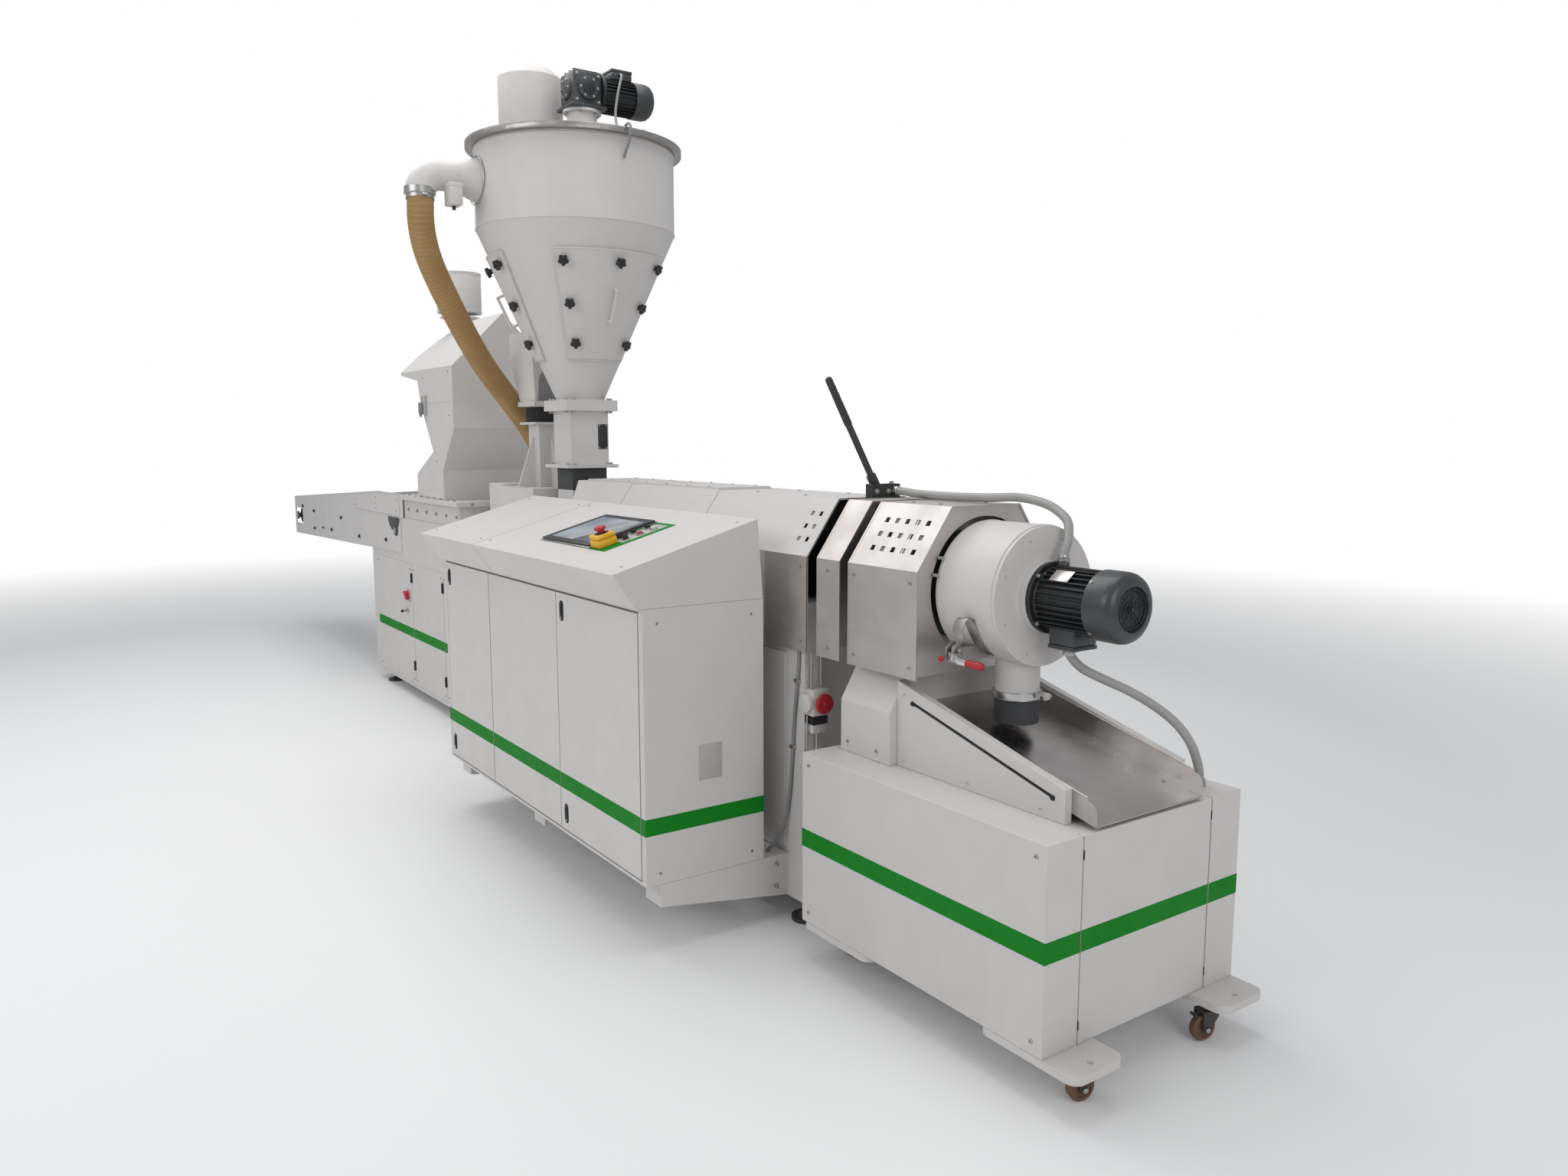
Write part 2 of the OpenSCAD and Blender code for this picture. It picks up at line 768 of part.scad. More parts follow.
conduit_d = 27;
upper_bends = [
    [-766, 36, 167], [-725, 36, 167], [-655, 37, 162], [-555, 36, 160], [-455, 38, 160],
    [-355, 40, 162], [-295, 42, 165], [-235, 46, 168], [-175, 52, 164], [-115, 54, 152],
    [-70, 53, 134], [-27, 44, 106], [-5, 22, 58], [0, 0, 22], [0, 0, 0]
];
lower_bends = [
    [-200, -328, 399], [-200, -328, 379], [-184, -294, 340], [-153, -238, 307], [-115, -178, 274],
    [-76, -118, 232], [-40, -66, 182], [-16, -28, 125], [-4, -6, 64], [0, 0, 22], [0, 0, 0]
];

// From the lever's block along the guards and over the drum to the motor
module motor_conduit_upper() {
    from = [lever_x + lever_block / 2, 60, lever_foot + 20];
    to = [gland_x, gland_y, axis_h + gland_rise];
    on_line() color(steel) tube(laid(from, to, upper_bends), conduit_d, 8);
}

// From under the motor down behind the tray to the trolley's top
module motor_conduit_lower() {
    from = [motor_x0 + 78, 0, axis_h - motor_box_drop];
    to = [-90, trolley_w / 2 - 65, trolley_top];
    on_line() color(steel) tube(laid(from, to, lower_bends), conduit_d, 8);
}

// GUARDS
fold_z = axis_h + fold_h;
guard_z = axis_h + guard_top_h;
skirt_z = axis_h - guard_skirt_h;
die_guard_x1 = drum_rear - 4;
die_guard_x0 = die_guard_x1 - die_guard_l;
middle_x1 = die_guard_x0 - guard_gap;
middle_x0 = middle_x1 - middle_guard_l;
hood_x1 = middle_x0 - guard_gap - 12;
hood_x0 = -hopper_back + hood_gap;

module guard_profile(inset, low) {
    h = guard_half - inset;
    t = guard_top_half - inset * 0.6;
    polygon([
        [-h, low], [-h, fold_z - inset * 0.3], [-t, guard_z - inset],
        [t, guard_z - inset], [h, fold_z - inset * 0.3], [h, low]
    ]);
}

module guard_shell(from, to) {
    drawn(from, to) difference() {
        guard_profile(0, skirt_z);
        guard_profile(sheet_t, skirt_z - 1);
    }
}

// Bulkhead that seats a guard round the barrel or the die head
module bulkhead(at, d) {
    difference() {
        drawn(at, at + sheet_t + 2) guard_profile(sheet_t / 2, skirt_z + 30);
        along(at - 1, at + sheet_t + 3, d + 2 * seat_gap);
    }
}

// Rows of square holes through both slanted faces, starting at a distance
module vent_holes(start, columns) {
    slant = atan((guard_z - fold_z) / (guard_half - guard_top_half));
    for (s = side) on_side(s)
        translate([start, (guard_half + guard_top_half) / 2, (fold_z + guard_z) / 2])
            rotate([-slant, 0, 0]) for (i = [0 : columns - 1], j = [-1 : 1])
                translate([-i * vent_pitch - vent_hole / 2, j * vent_row - vent_hole / 2, -15])
                    cube([vent_hole, vent_hole, 30]);
}

module die_guard() {
    on_line() color(steel) {
        difference() {
            union() {
                guard_shell(die_guard_x0, die_guard_x1);
                drawn(die_guard_x1 - 8, die_guard_x1 - 4) guard_profile(sheet_t / 2, skirt_z + 10);
            }
            vent_holes(die_guard_x1 - 60, 5);
            along(die_guard_x1 - 20, die_guard_x1 + 20, drum_d + 24);
        }
        bulkhead(die_guard_x0 + 205, die_d);
    }
}

module middle_guard() {
    on_line() color(steel) {
        guard_shell(middle_x0, middle_x1);
        bulkhead(middle_x0 + 50, barrel_d);
        for (s = side) on_side(s)
            box([hood_x1 - 240, guard_half + seat_gap, skirt_z], [hood_x1, guard_half + seat_gap + 3, fold_z]);
    }
}

module barrel_hood() {
    back = hood_x0 + 140;
    on_line() color(white) {
        difference() {
            guard_shell(hood_x0, hood_x1);
            vent_holes(hood_x1 - 50, 2);
            across(-guard_half - 1, guard_half + 1) polygon([
                [hood_x0 - 1, skirt_z - 1], [back, skirt_z - 1], [back, fold_z],
                [hood_x0, guard_z - sheet_t - 2], [hood_x0 - 1, guard_z - sheet_t - 2]
            ]);
        }
        for (s = side) on_side(s)
            box([back + 4, base_half - 35, skirt_z], [base_x1, guard_half - 1, skirt_z + sheet_t]);
        box([hood_x0 + 60, -guard_top_half + 20, guard_z], [hood_x1 - 780, guard_top_half - 20, guard_z + 8]);
    }
}

lever_x = (hood_x1 + middle_x0) / 2;
lever_foot = guard_z + 2;
lever_block = 36;
barrel_x0 = -hopper_back - 148;
band_x0 = -hopper_back + 332;
band_count = 7;
band_pitch = (hood_x1 - 54 - band_x0) / band_count;

// Barrel with heater bands, screen changer and die head
module screw_barrel() {
    changer = 40;
    on_line() color(steel) union() {
        along(barrel_x0, die_guard_x0 + 180, barrel_d);
        for (i = [0 : band_count - 1]) let (x = band_x0 + i * band_pitch)
            along(x, x + band_pitch - 100, barrel_d + 44);
        along(die_guard_x0 + 140, drum_rear - seat_gap, die_d - 60);
        along(die_guard_x0 + 180, die_guard_x0 + 260, die_d);
        box([lever_x - changer / 2, -110, axis_h - 150], [lever_x + changer / 2, 110, lever_foot]);
    }
}

module lever() {
    block = lever_block;
    on_line() color(dark) union() {
        box([lever_x - block / 2, -block, lever_foot], [lever_x + block / 2, 82, lever_foot + 44]);
        translate([lever_x, 0, lever_foot + 22]) rotate([lever_lean, 0, 0]) cylinder(h = lever_l, d = lever_d);
    }
}

// CABINET
cab_x1 = -cab_end;
cab_x0 = cab_x1 - cab_l;
cab_y0 = -cab_face;
cab_y1 = cab_y0 + cab_d;
mouth_x0 = cab_x0 + post_left;
mouth_x1 = cab_x1 - post_right;
mouth_z0 = cab_bottom + sill_h;
mouth_z1 = cab_top - sill_h;

module cabinet_shell() {
    t = sheet_t;
    on_line() color(white) difference() {
        box([cab_x0, cab_y0, cab_bottom], [cab_x1, cab_y1, cab_top]);
        box([mouth_x0, cab_y0 - 1, mouth_z0], [mouth_x1, cab_y0 + door_t + seat_gap, mouth_z1]);
        box([mouth_x0 + stop_w, cab_y0 + door_t - 1, mouth_z0 + stop_w],
            [mouth_x1 - stop_w, cab_y0 + 50, mouth_z1 - stop_w]);
        box([cab_x0 + t, cab_y0 + 40, cab_bottom + t], [cab_x1 - t, cab_y1 - t, cab_top - t]);
    }
}

slope = atan((console_back_h - console_tip_h) / (cab_d + console_reach - 20));

module console_top() {
    on_line() color(white) drawn(cab_x0, cab_x1) polygon([
        [cab_y1, cab_top], [cab_y1 - 20, console_back_h], [-console_front, console_tip_h],
        [cab_y0 - fascia_in, cab_top]
    ]);
}

// Places a piece on the console's slope: distance back along the line, distance up the slope
module on_slope(back, up) {
    on_line() translate([-back, -console_front, console_tip_h]) rotate([slope, 0, 0])
        translate([0, up, 0]) children();
}

module door(x0, x1, latch_x) {
    z0 = mouth_z0 + door_gap;
    z1 = mouth_z1 - door_gap;
    on_line() color(white) difference() {
        box([x0, cab_y0, z0], [x1, cab_y0 + door_t, z1]);
        if (latch_x != 0) for (z = [z0 + 62, z1 - 62])
            translate([latch_x, cab_y0 + latch_d, z]) rotate([90, 0, 0]) latch_cup();
    }
}

module latch_cup() {
    r = 14;
    linear_extrude(latch_d + 1) {
        square([2 * r, latch_l - 2 * r], center = true);
        for (s = side) translate([0, s * (latch_l / 2 - r)]) circle(r);
    }
}

left_x0 = mouth_x0 + door_gap;
left_x1 = left_x0 + door_left_w;
middle_door_x1 = left_x1 + door_gap + door_middle_w;
right_x1 = mouth_x1 - door_gap;

module cabinet_door_left() { door(left_x0, left_x1, left_x0 + 35); }
module cabinet_door_middle() { door(left_x1 + door_gap, middle_door_x1, 0); }
module cabinet_door_right() { door(middle_door_x1 + door_gap, right_x1, middle_door_x1 + door_gap + 45); }

module operator_panel() {
    on_slope(panel_end, panel_up) color(dark) translate([0, 0, seat_gap]) cube([panel_w, panel_d, panel_t]);
}

module emergency_stop() {
    on_slope(panel_end - panel_w - 10, panel_up + 4) translate([0, 0, seat_gap]) {
        color("gold") cube([stop_box, stop_box, stop_box_h]);
        color(red) translate([stop_box / 2, stop_box / 2, stop_box_h]) union() {
            cylinder(h = 14, d = stop_button_d * 0.6);
            translate([0, 0, 12]) cylinder(h = 14, d1 = stop_button_d, d2 = stop_button_d - 8);
        }
    }
}

// BASE
beam_top = cab_bottom;
outrigger_backs = [cab_end, cab_end + cab_l / 2, cab_end + cab_l - outrigger_w];

// Tapered beam that carries the cabinet in front of the frame
module outrigger(back) {
    tip = cab_y0 + 50;
    drawn(-back - outrigger_w, -back) polygon([
        [-frame_half + 1, beam_bottom], [-frame_half + 1, beam_top],
        [tip, beam_top], [tip, beam_top - outrigger_tip_h]
    ]);
}

module main_frame() {
    left = -shred_right;
    cross_l = 2 * (frame_half - beam_w) + 2;
    on_line() color(white) union() {
        for (s = side) on_side(s) {
            box([left, frame_half - beam_w, beam_bottom], [-frame_end, frame_half, beam_top]);
            box([-frame_end - post_w, frame_half - 70, beam_top - 1], [-frame_end, frame_half, skirt_z + 40]);
        }
        for (back = [frame_end, cab_end + cab_l / 2, shred_right - 90])
            box([-back - 90, -cross_l / 2, beam_bottom + 10], [-back, cross_l / 2, beam_top - 10]);
        box([-frame_end - post_w, -frame_half + 1, skirt_z + 20],
            [-frame_end, frame_half - 1, axis_h - barrel_d / 2 - seat_gap]);
        for (back = outrigger_backs) outrigger(back);
    }
}

module levelling_foot(back, y, top) {
    translate([-back, y, 0]) union() {
        cylinder(h = 14, d = foot_d);
        translate([0, 0, 14]) cylinder(h = 12, d1 = foot_d * 0.6, d2 = stem_d * 1.6);
        translate([0, 0, 14]) cylinder(h = top - 14, d = stem_d);
        translate([0, 0, top - 18]) cylinder(h = 18, d = 46, $fn = 6);
    }
}

module levelling_feet() {
    on_line() color(dark) for (s = side) {
        for (back = [frame_end + 50, (frame_end + shred_right - 90) / 2, shred_right - 140])
            levelling_foot(back, s * (frame_half - beam_w / 2), beam_bottom);
        for (back = [shred_right + 180, shred_left - 220]) levelling_foot(back, s * 230, shred_bottom);
    }
}

base_x1 = -frame_end - post_w - 8;
base_half = frame_half - base_panel_t;
base_top = skirt_z - seat_gap;

module extruder_base() {
    on_line() color(white) box([-shred_right, -base_half, beam_top], [base_x1, base_half, base_top]);
}

// Gearbox and covered drive motor on the extruder base
module extruder_drive() {
    split = casing_x - 170;
    foot = hose_foot;
    on_line() color(white) {
        box([split, -200, base_top], [barrel_x0, 200, drive_top - 10]);
        box([-shred_right + 160, -180, base_top], [split - seat_gap, 180, drive_top]);
        translate([foot[0], foot[1], drive_top - 1]) cylinder(h = foot[2] - seat_gap - drive_top + 1, d = port_d);
    }
}

notch_x = -deck_left - 70;
function conv_low(x) =
    conv_far_low + (conv_near_low - conv_far_low) * (x + conv_far) / (conv_far - deck_left - 12);

module shredder_base() {
    l = -shred_left;
    half = shred_half - base_panel_t;
    on_line() color(white) across(-half, half) difference() {
        polygon([
            [l, shred_bottom], [-shred_right, shred_bottom], [-shred_right, shred_top],
            [notch_x, shred_top], [notch_x, conv_low(notch_x)], [l, conv_low(l)]
        ]);
        translate([l, shred_bottom]) difference() {
            translate([-1, -1]) square(shred_r + 1);
            translate([shred_r, shred_r]) circle(shred_r);
        }
    }
}

// Screwed panels on both sides of the shredder base and on the far side of the extruder base
module base_panels() {
    left = -shred_left + shred_r + 30;
    x = [for (share = [0, 0.4556, 0.8061, 1]) left + share * (-shred_right - left)];
    t = base_panel_t;
    panel_l = (base_x1 + shred_right - 12) / 4;
    on_line() color(white) {
        for (s = side, i = [0 : 2]) on_side(s)
            box([x[i] + seam, shred_half - t, shred_bottom + 30], [x[i + 1] - seam, shred_half, conv_near_low - 60]);
        for (s = side, i = [0 : 3]) on_side(s)
            box([-shred_right + i * panel_l + seam, base_half, beam_top + 20],
                [-shred_right + (i + 1) * panel_l - seam, frame_half, base_top - 20]);
    }
}

// SHREDDER
module shredder_deck() {
    on_line() color(white) union() {
        box([notch_x, -shred_half + 15, shred_top], [-shred_right - 50, shred_half - 15, shred_top + rotor_h]);
        box([-deck_left, -shred_half - 15, shred_top + rotor_h], [-shred_right, shred_half + 15, deck_z]);
    }
}

mouth_back = 570;

// Side outline of the hood: waist, inclined front and canopy
module hood_outline() {
    r = -shood_right;
    z = deck_z;
    canopy = [for (a = [0 : 10 : 90])
        [-canopy_tip + 560 * (1 - cos(a)), canopy_h + (ridge_h - canopy_h) * sin(a)]];
    polygon(concat(
        [[r - can_in, z], [r - 220, z], [r - 220, z + 170], [r, z + 410], [r, ridge_h]],
        [for (i = [len(canopy) - 1 : -1 : 0]) canopy[i]],
        [[-canopy_tip + 6, canopy_h - 26], [r - 628, z + 690], [r - mouth_back, z + 540]],
        [[r - 378, z + 275], [r - can_in, z + 140]]
    ));
}

// Gable of the hood seen along the line
module hood_gable(low) {
    h = shood_half;
    polygon([[-h, low], [h, low], [h, eaves_h], [0, ridge_h], [-h, eaves_h]]);
}

module shredder_hood() {
    h = shood_half;
    x = -shood_right - mouth_back;
    on_line() color(white) difference() {
        intersection() {
            across(-h, h) hood_outline();
            drawn(-canopy_tip - 10, -shood_right + 10) hood_gable(deck_z - 1);
        }
        box([x - 98, -mouth_w / 2, deck_z + 360], [x + mouth_d, mouth_w / 2, deck_z + 660]);
    }
}

module vent_can() {
    neck_d = 90;
    foot = ridge_h - 65;
    on_line() color(white) translate([-can_back, 0, 0]) difference() {
        union() {
            translate([0, 0, foot - 60]) cylinder(h = 180, d = neck_d);
            translate([0, 0, foot + 90]) cylinder(h = 8, d = can_d - 30);
            translate([0, 0, foot + 120]) cylinder(h = can_h, d = can_d);
        }
        translate([can_back, 0, 0]) intersection() {
            across(-can_d, can_d) hood_outline();
            drawn(-canopy_tip, -shood_right) hood_gable(deck_z);
        }
    }
}

// CONVEYOR
conv_x0 = -conv_far;
conv_x1 = -deck_left - 12;
knee_x = conv_x1 - 560;
conv_inner = shred_half - base_panel_t + seat_gap;
conv_slope = atan((conv_near_low + conv_near_high - conv_far_low - conv_far_high) / 2 / (conv_x1 - conv_x0));

module conveyor_plate() {
    polygon([
        [conv_x0, conv_far_low], [notch_x, conv_low(notch_x)], [notch_x, shred_top], [conv_x1, shred_top],
        [conv_x1, conv_near_high], [knee_x, conv_near_high], [conv_x0, conv_far_high]
    ]);
}

module conveyor_frame() {
    t = conv_t;
    on_line() color(white) {
        difference() {
            union() {
                for (y = [-conv_inner - t, conv_inner]) across(y, y + t) conveyor_plate();
                for (i = [0 : 2]) let (x = conv_x0 + 300 + i * 700)
                    box([x, -conv_inner - 1, conv_low(x) + 6], [x + 60, conv_inner + 1, conv_low(x) + 46]);
            }
            translate([conv_x0 + 40, -conv_inner - 20, conv_far_low + 90])
                cube([240, 2 * conv_inner + 40, 130]);
        }
        for (y = [-conv_inner - 2 * t, conv_inner + t]) across(y, y + t) polygon([
            [knee_x - 600, conv_far_high], [conv_x1 - 60, conv_far_high], [conv_x1 - 60, conv_near_high - 8],
            [knee_x, conv_near_high - 8], [knee_x - 600, conv_near_high - 50]
        ]);
    }
}

roller_far = [conv_x0 + 130, conv_far_low + 155];
roller_near = [notch_x - 90, conv_near_low + 135];

module belt_loop(d) {
    run = roller_near - roller_far;
    a = atan2(run[1], run[0]);
    l = norm(run);
    translate(roller_far) rotate(a) {
        translate([0, -d / 2]) square([l, d]);
        circle(d = d);
        translate([l, 0]) circle(d = d);
    }
}

// Fixed belt loop on its two rollers
module conveyor_belt() {
    half = conv_inner - belt_gap;
    on_line() {
        color(dark) across(-half, half) difference() {
            belt_loop(roller_d + 2 * belt_t);
            belt_loop(roller_d);
        }
        color(steel) for (p = [roller_far, roller_near]) translate([p[0], conv_inner, p[1]])
            rotate([90, 0, 0]) cylinder(h = 2 * conv_inner, d = 40);
        color(steel) for (p = [roller_far, roller_near]) translate([p[0], half - 2, p[1]])
            rotate([90, 0, 0]) cylinder(h = 2 * half - 4, d = roller_d - 2 * seat_gap);
    }
}

// FEED HOPPER
hop_x = -hopper_back;
module at_hopper(z) {
    on_line() translate([hop_x, 0, z]) children();
}

cone_lean = atan((bowl_d - cone_foot_d) / 2 / cone_h);
lid_h = rim_h + rim_ring_h;

module bowl_outline(inset) {
    polygon([
        [0, cone_foot_h - 1], [cone_foot_d / 2 - inset, cone_foot_h - 1], [cone_foot_d / 2 - inset, cone_foot_h],
        [bowl_d / 2 - inset, cone_top_h], [bowl_d / 2 - inset, rim_h + (inset > 0 ? 1 : 0)],
        [0, rim_h + (inset > 0 ? 1 : 0)]
    ]);
}

module hopper_bowl() {
    on_line() translate([hop_x, 0, 0]) color(white) {
        difference() {
            union() {
                rotate_extrude() intersection() {
                    bowl_outline(0);
                    translate([0, cone_foot_h]) square([bowl_d, rim_h]);
                }
                translate([-flange_w / 2, -flange_w / 2, cone_foot_h - flange_t])
                    cube([flange_w, flange_w, flange_t]);
            }
            rotate_extrude() bowl_outline(bowl_t);
            translate([0, 0, cone_foot_h - flange_t - 1]) cylinder(h = flange_t + 2, d = cone_foot_d - 2 * bowl_t);
        }
    }
}

module hopper_lid() {
    at_hopper(rim_h) color(steel) union() {
        difference() {
            cylinder(h = rim_ring_h, d = rim_d);
            translate([0, 0, rim_ring_h - 6]) cylinder(h = 10, d = rim_d - 40);
        }
        translate([0, 0, rim_ring_h - 7]) cylinder(h = 7, d = rim_d - 90);
    }
}

door_low = cone_foot_h + 0.238 * cone_h;
door_high = cone_foot_h + 0.8426 * cone_h;
door_turns = [3, -120];
door_spread = 84;
door_skin = 12;
function cone_r(z) = cone_foot_d / 2 + (z - cone_foot_h) * tan(cone_lean);

// Stands a piece on the cone, square to its wall
module on_cone(turn, z) {
    rotate([0, 0, turn]) translate([cone_r(z), 0, z]) rotate([0, 90 + cone_lean, 0]) children();
}

// Curved cover on the cone with its screw knobs
module cleanout_door(turn) {
    gap = seat_gap / cos(cone_lean);
    out = door_skin / cos(cone_lean);
    reach = bowl_d;
    half = door_spread / 2;
    intersection() {
        rotate_extrude() polygon([
            [cone_r(door_low) + gap, door_low], [cone_r(door_high) + gap, door_high],
            [cone_r(door_high) + out, door_high], [cone_r(door_low) + out, door_low]
        ]);
        translate([0, 0, door_low - 1]) linear_extrude(door_high - door_low + 2) rotate(turn)
            polygon([[0, 0], [reach * cos(half), -reach * sin(half)], [reach * cos(half), reach * sin(half)]]);
    }
    for (k = [[-36, 0.906], [0, 0.906], [36, 0.906], [-34, 0.53], [34, 0.53], [-31, 0.17], [31, 0.17]])
        on_cone(turn + k[0], door_low + k[1] * (door_high - door_low))
            translate([0, 0, door_skin - 2]) cylinder(h = 30, d1 = 20, d2 = 36);
}

module cleanout_doors() {
    at_hopper(0) color(white) for (turn = door_turns) cleanout_door(turn);
}

module filter_can() {
    at_hopper(lid_h) color(white) translate([-255, -110, 0]) union() {
        cylinder(h = filter_h - filter_bevel, d = filter_d);
        translate([0, 0, filter_h - filter_bevel])
            cylinder(h = filter_bevel, d1 = filter_d, d2 = filter_d - 2 * filter_bevel);
    }
}

// Gearbox on its pedestal with the motor lying towards the far side
module agitator_drive() {
    z = pedestal_h + 16 + gear_w / 2;
    at_hopper(lid_h) translate([50, 20, 0]) {
        color(steel) union() {
            cylinder(h = 12, d = pedestal_d + 60);
            cylinder(h = pedestal_h, d = pedestal_d);
        }
        color(dark) translate([0, 0, pedestal_h]) union() {
            translate([-gear_w / 2 - 15, -gear_w / 2 - 15, 0]) cube([gear_w + 30, gear_w + 30, 16]);
            translate([-gear_w / 2, -gear_w / 2, 16]) cube([gear_w, gear_w, gear_w]);
        }
        color(dark) translate([0, gear_w / 2, z]) rotate([-90, 0, 0]) union() {
            cylinder(h = 16, d = agitator_motor_d + 24);
            cylinder(h = agitator_motor_l, d = agitator_motor_d);
            translate([0, 0, agitator_motor_l]) cylinder(h = 40, d1 = agitator_motor_d, d2 = agitator_motor_d - 40);
        }
        color(dark) translate([-50, gear_w / 2 + 60, z + agitator_motor_d / 2 - 8]) cube([100, 110, 44]);
    }
}

module throat_duct() {
    top = cone_foot_h - flange_t;
    h = top - duct_foot_h;
    on_line() translate([hop_x, 0, 0]) color(white) difference() {
        union() {
            translate([-flange_w / 2, -flange_w / 2, top - flange_t]) cube([flange_w, flange_w, flange_t]);
            translate([-duct_w / 2, -duct_w / 2, duct_foot_h]) cube([duct_w, duct_w, h]);
            translate([-flange_w / 2, -flange_w / 2, duct_foot_h]) cube([flange_w, flange_w, 16]);
            translate([-duct_w / 2 + 10, -duct_w / 2 + 10, axis_h]) cube([duct_w - 20, duct_w - 20, duct_foot_h - axis_h]);
        }
        translate([-duct_w / 2 + 20, -duct_w / 2 + 20, axis_h]) cube([duct_w - 40, duct_w - 40, top - axis_h + 1]);
        translate([-hop_x, 0, 0]) along(hop_x - 300, hop_x + 300, barrel_d + 2 * seat_gap);
    }
}

elbow_r = 95;
port_x = hop_x - 55;
port_d = hose_d + 12;
elbow_y = -bowl_d / 2 - 167.5;

// Inlet on the bowl's near side, turned down by an elbow to the hose
module hose_port() {
    wall_y = -bowl_d / 2;
    on_line() color(white) union() {
        difference() {
            translate([port_x, wall_y + 40, port_h]) rotate([90, 0, 0]) union() {
                cylinder(h = 130, d1 = 230, d2 = port_d);
                cylinder(h = wall_y + 40 - elbow_y, d = port_d);
            }
            translate([hop_x, 0, port_h - 300]) cylinder(h = 600, d = bowl_d + 2 * seat_gap);
        }
        translate([port_x, elbow_y, port_h - elbow_r]) rotate([90, 0, 90]) rotate([0, 0, 90])
            rotate_extrude(angle = 90) translate([elbow_r, 0]) circle(d = port_d);
        translate([port_x + 34, elbow_y + 6, port_h - 140]) cube([78, 56, 90]);
    }
}

casing_half = [150, 130];
casing_low = axis_h + 631;
casing_top = casing_low + 350;
coupling_low = axis_h + 526;
casing_x = hop_x - casing_half[0] - min(cone_r(casing_top), bowl_d / 2) - 3.6;
drive_top = axis_h + 201;
hose_foot = [casing_x - 266, 108, drive_top + 31];
hose_bends = [
    [639, -843, 1299], [639, -843, 1259], [614, -836, 1191], [564, -810, 1114], [508, -766, 1029],
    [434, -690, 919], [354, -598, 799], [271, -500, 679], [186, -393, 564], [104, -280, 459],
    [44, -173, 354], [14, -88, 249], [4, -30, 149], [0, 0, 59], [0, 0, 0]
];

// From the elbow down the near side, behind the casing, to the drive cover
module suction_hose() {
    from = [port_x, elbow_y - elbow_r, port_h - elbow_r];
    on_line() color(tan) tube(laid(from, hose_foot, hose_bends), hose_d, 10);
}

// Casing beside the hopper with its lower flange and rubber coupling
module side_hopper() {
    w = casing_half[0];
    d = casing_half[1];
    on_line() translate([casing_x, 0, 0]) {
        color(white) union() {
            hull() {
                translate([-100, -100, casing_low]) cube([200, 200, 1]);
                translate([-w, -d, casing_top - 110]) cube([2 * w, 2 * d, 1]);
            }
            translate([-w, -d, casing_top - 110]) cube([2 * w, 2 * d, 110]);
            translate([-110, -110, casing_low - 24]) cube([220, 220, 25]);
        }
        color(black) translate([0, 0, coupling_low]) cylinder(h = casing_low - 24 - coupling_low, d = 200);
    }
}

module pedestal_rib(foot) {
    top = coupling_low - 80;
    polygon([[-165, foot], [165, foot], [80, top], [-80, top]]);
}

module feed_pedestal() {
    foot = drive_top - 10;
    on_line() translate([casing_x, 0, 0]) color(white) union() {
        box([-70, -70, foot], [70, 70, coupling_low]);
        box([-105, -105, coupling_low - 12], [105, 105, coupling_low]);
        across(-6, 6) pedestal_rib(foot);
        drawn(-6, 6) pedestal_rib(foot);
    }
}

trolley_body();
trolley_end_panel();
stabiliser_plates();
caster_fork_front_near();
caster_fork_front_far();
caster_fork_rear_near();
caster_fork_rear_far();
caster_wheel_front_near();
caster_wheel_front_far();
caster_wheel_rear_near();
caster_wheel_rear_far();
chute_tray();
chute_cheeks();
chute_drive_cover();
cutter_drum();
drum_cover();
cutter_motor();
outlet_clamp();
outlet_pipe();
toggle_bracket();
toggle_handle();
motor_conduit_upper();
motor_conduit_lower();
die_guard();
middle_guard();
barrel_hood();
screw_barrel();
lever();
cabinet_shell();
console_top();
cabinet_door_left();
cabinet_door_middle();
cabinet_door_right();
operator_panel();
emergency_stop();
main_frame();
levelling_feet();
extruder_base();
extruder_drive();
shredder_base();
base_panels();
shredder_deck();
shredder_hood();
vent_can();
conveyor_frame();
conveyor_belt();
hopper_bowl();
hopper_lid();
cleanout_doors();
filter_can();
agitator_drive();
throat_duct();
hose_port();
suction_hose();
side_hopper();
feed_pedestal();
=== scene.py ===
"""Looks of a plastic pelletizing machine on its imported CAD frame.

Builds the finishes, the fittings that the frame leaves plain, the cords, the camera and the light.
Lengths are metres. A piece is drawn along the line, x back from the trolley's end face, y across
from the screw axis and z up from the floor, and is shifted into the row frame when it is finished.
"""

import json
import math

import bmesh
import bpy
from bpy.props import FloatProperty, FloatVectorProperty, IntProperty, PointerProperty
from mathutils import Matrix, Vector

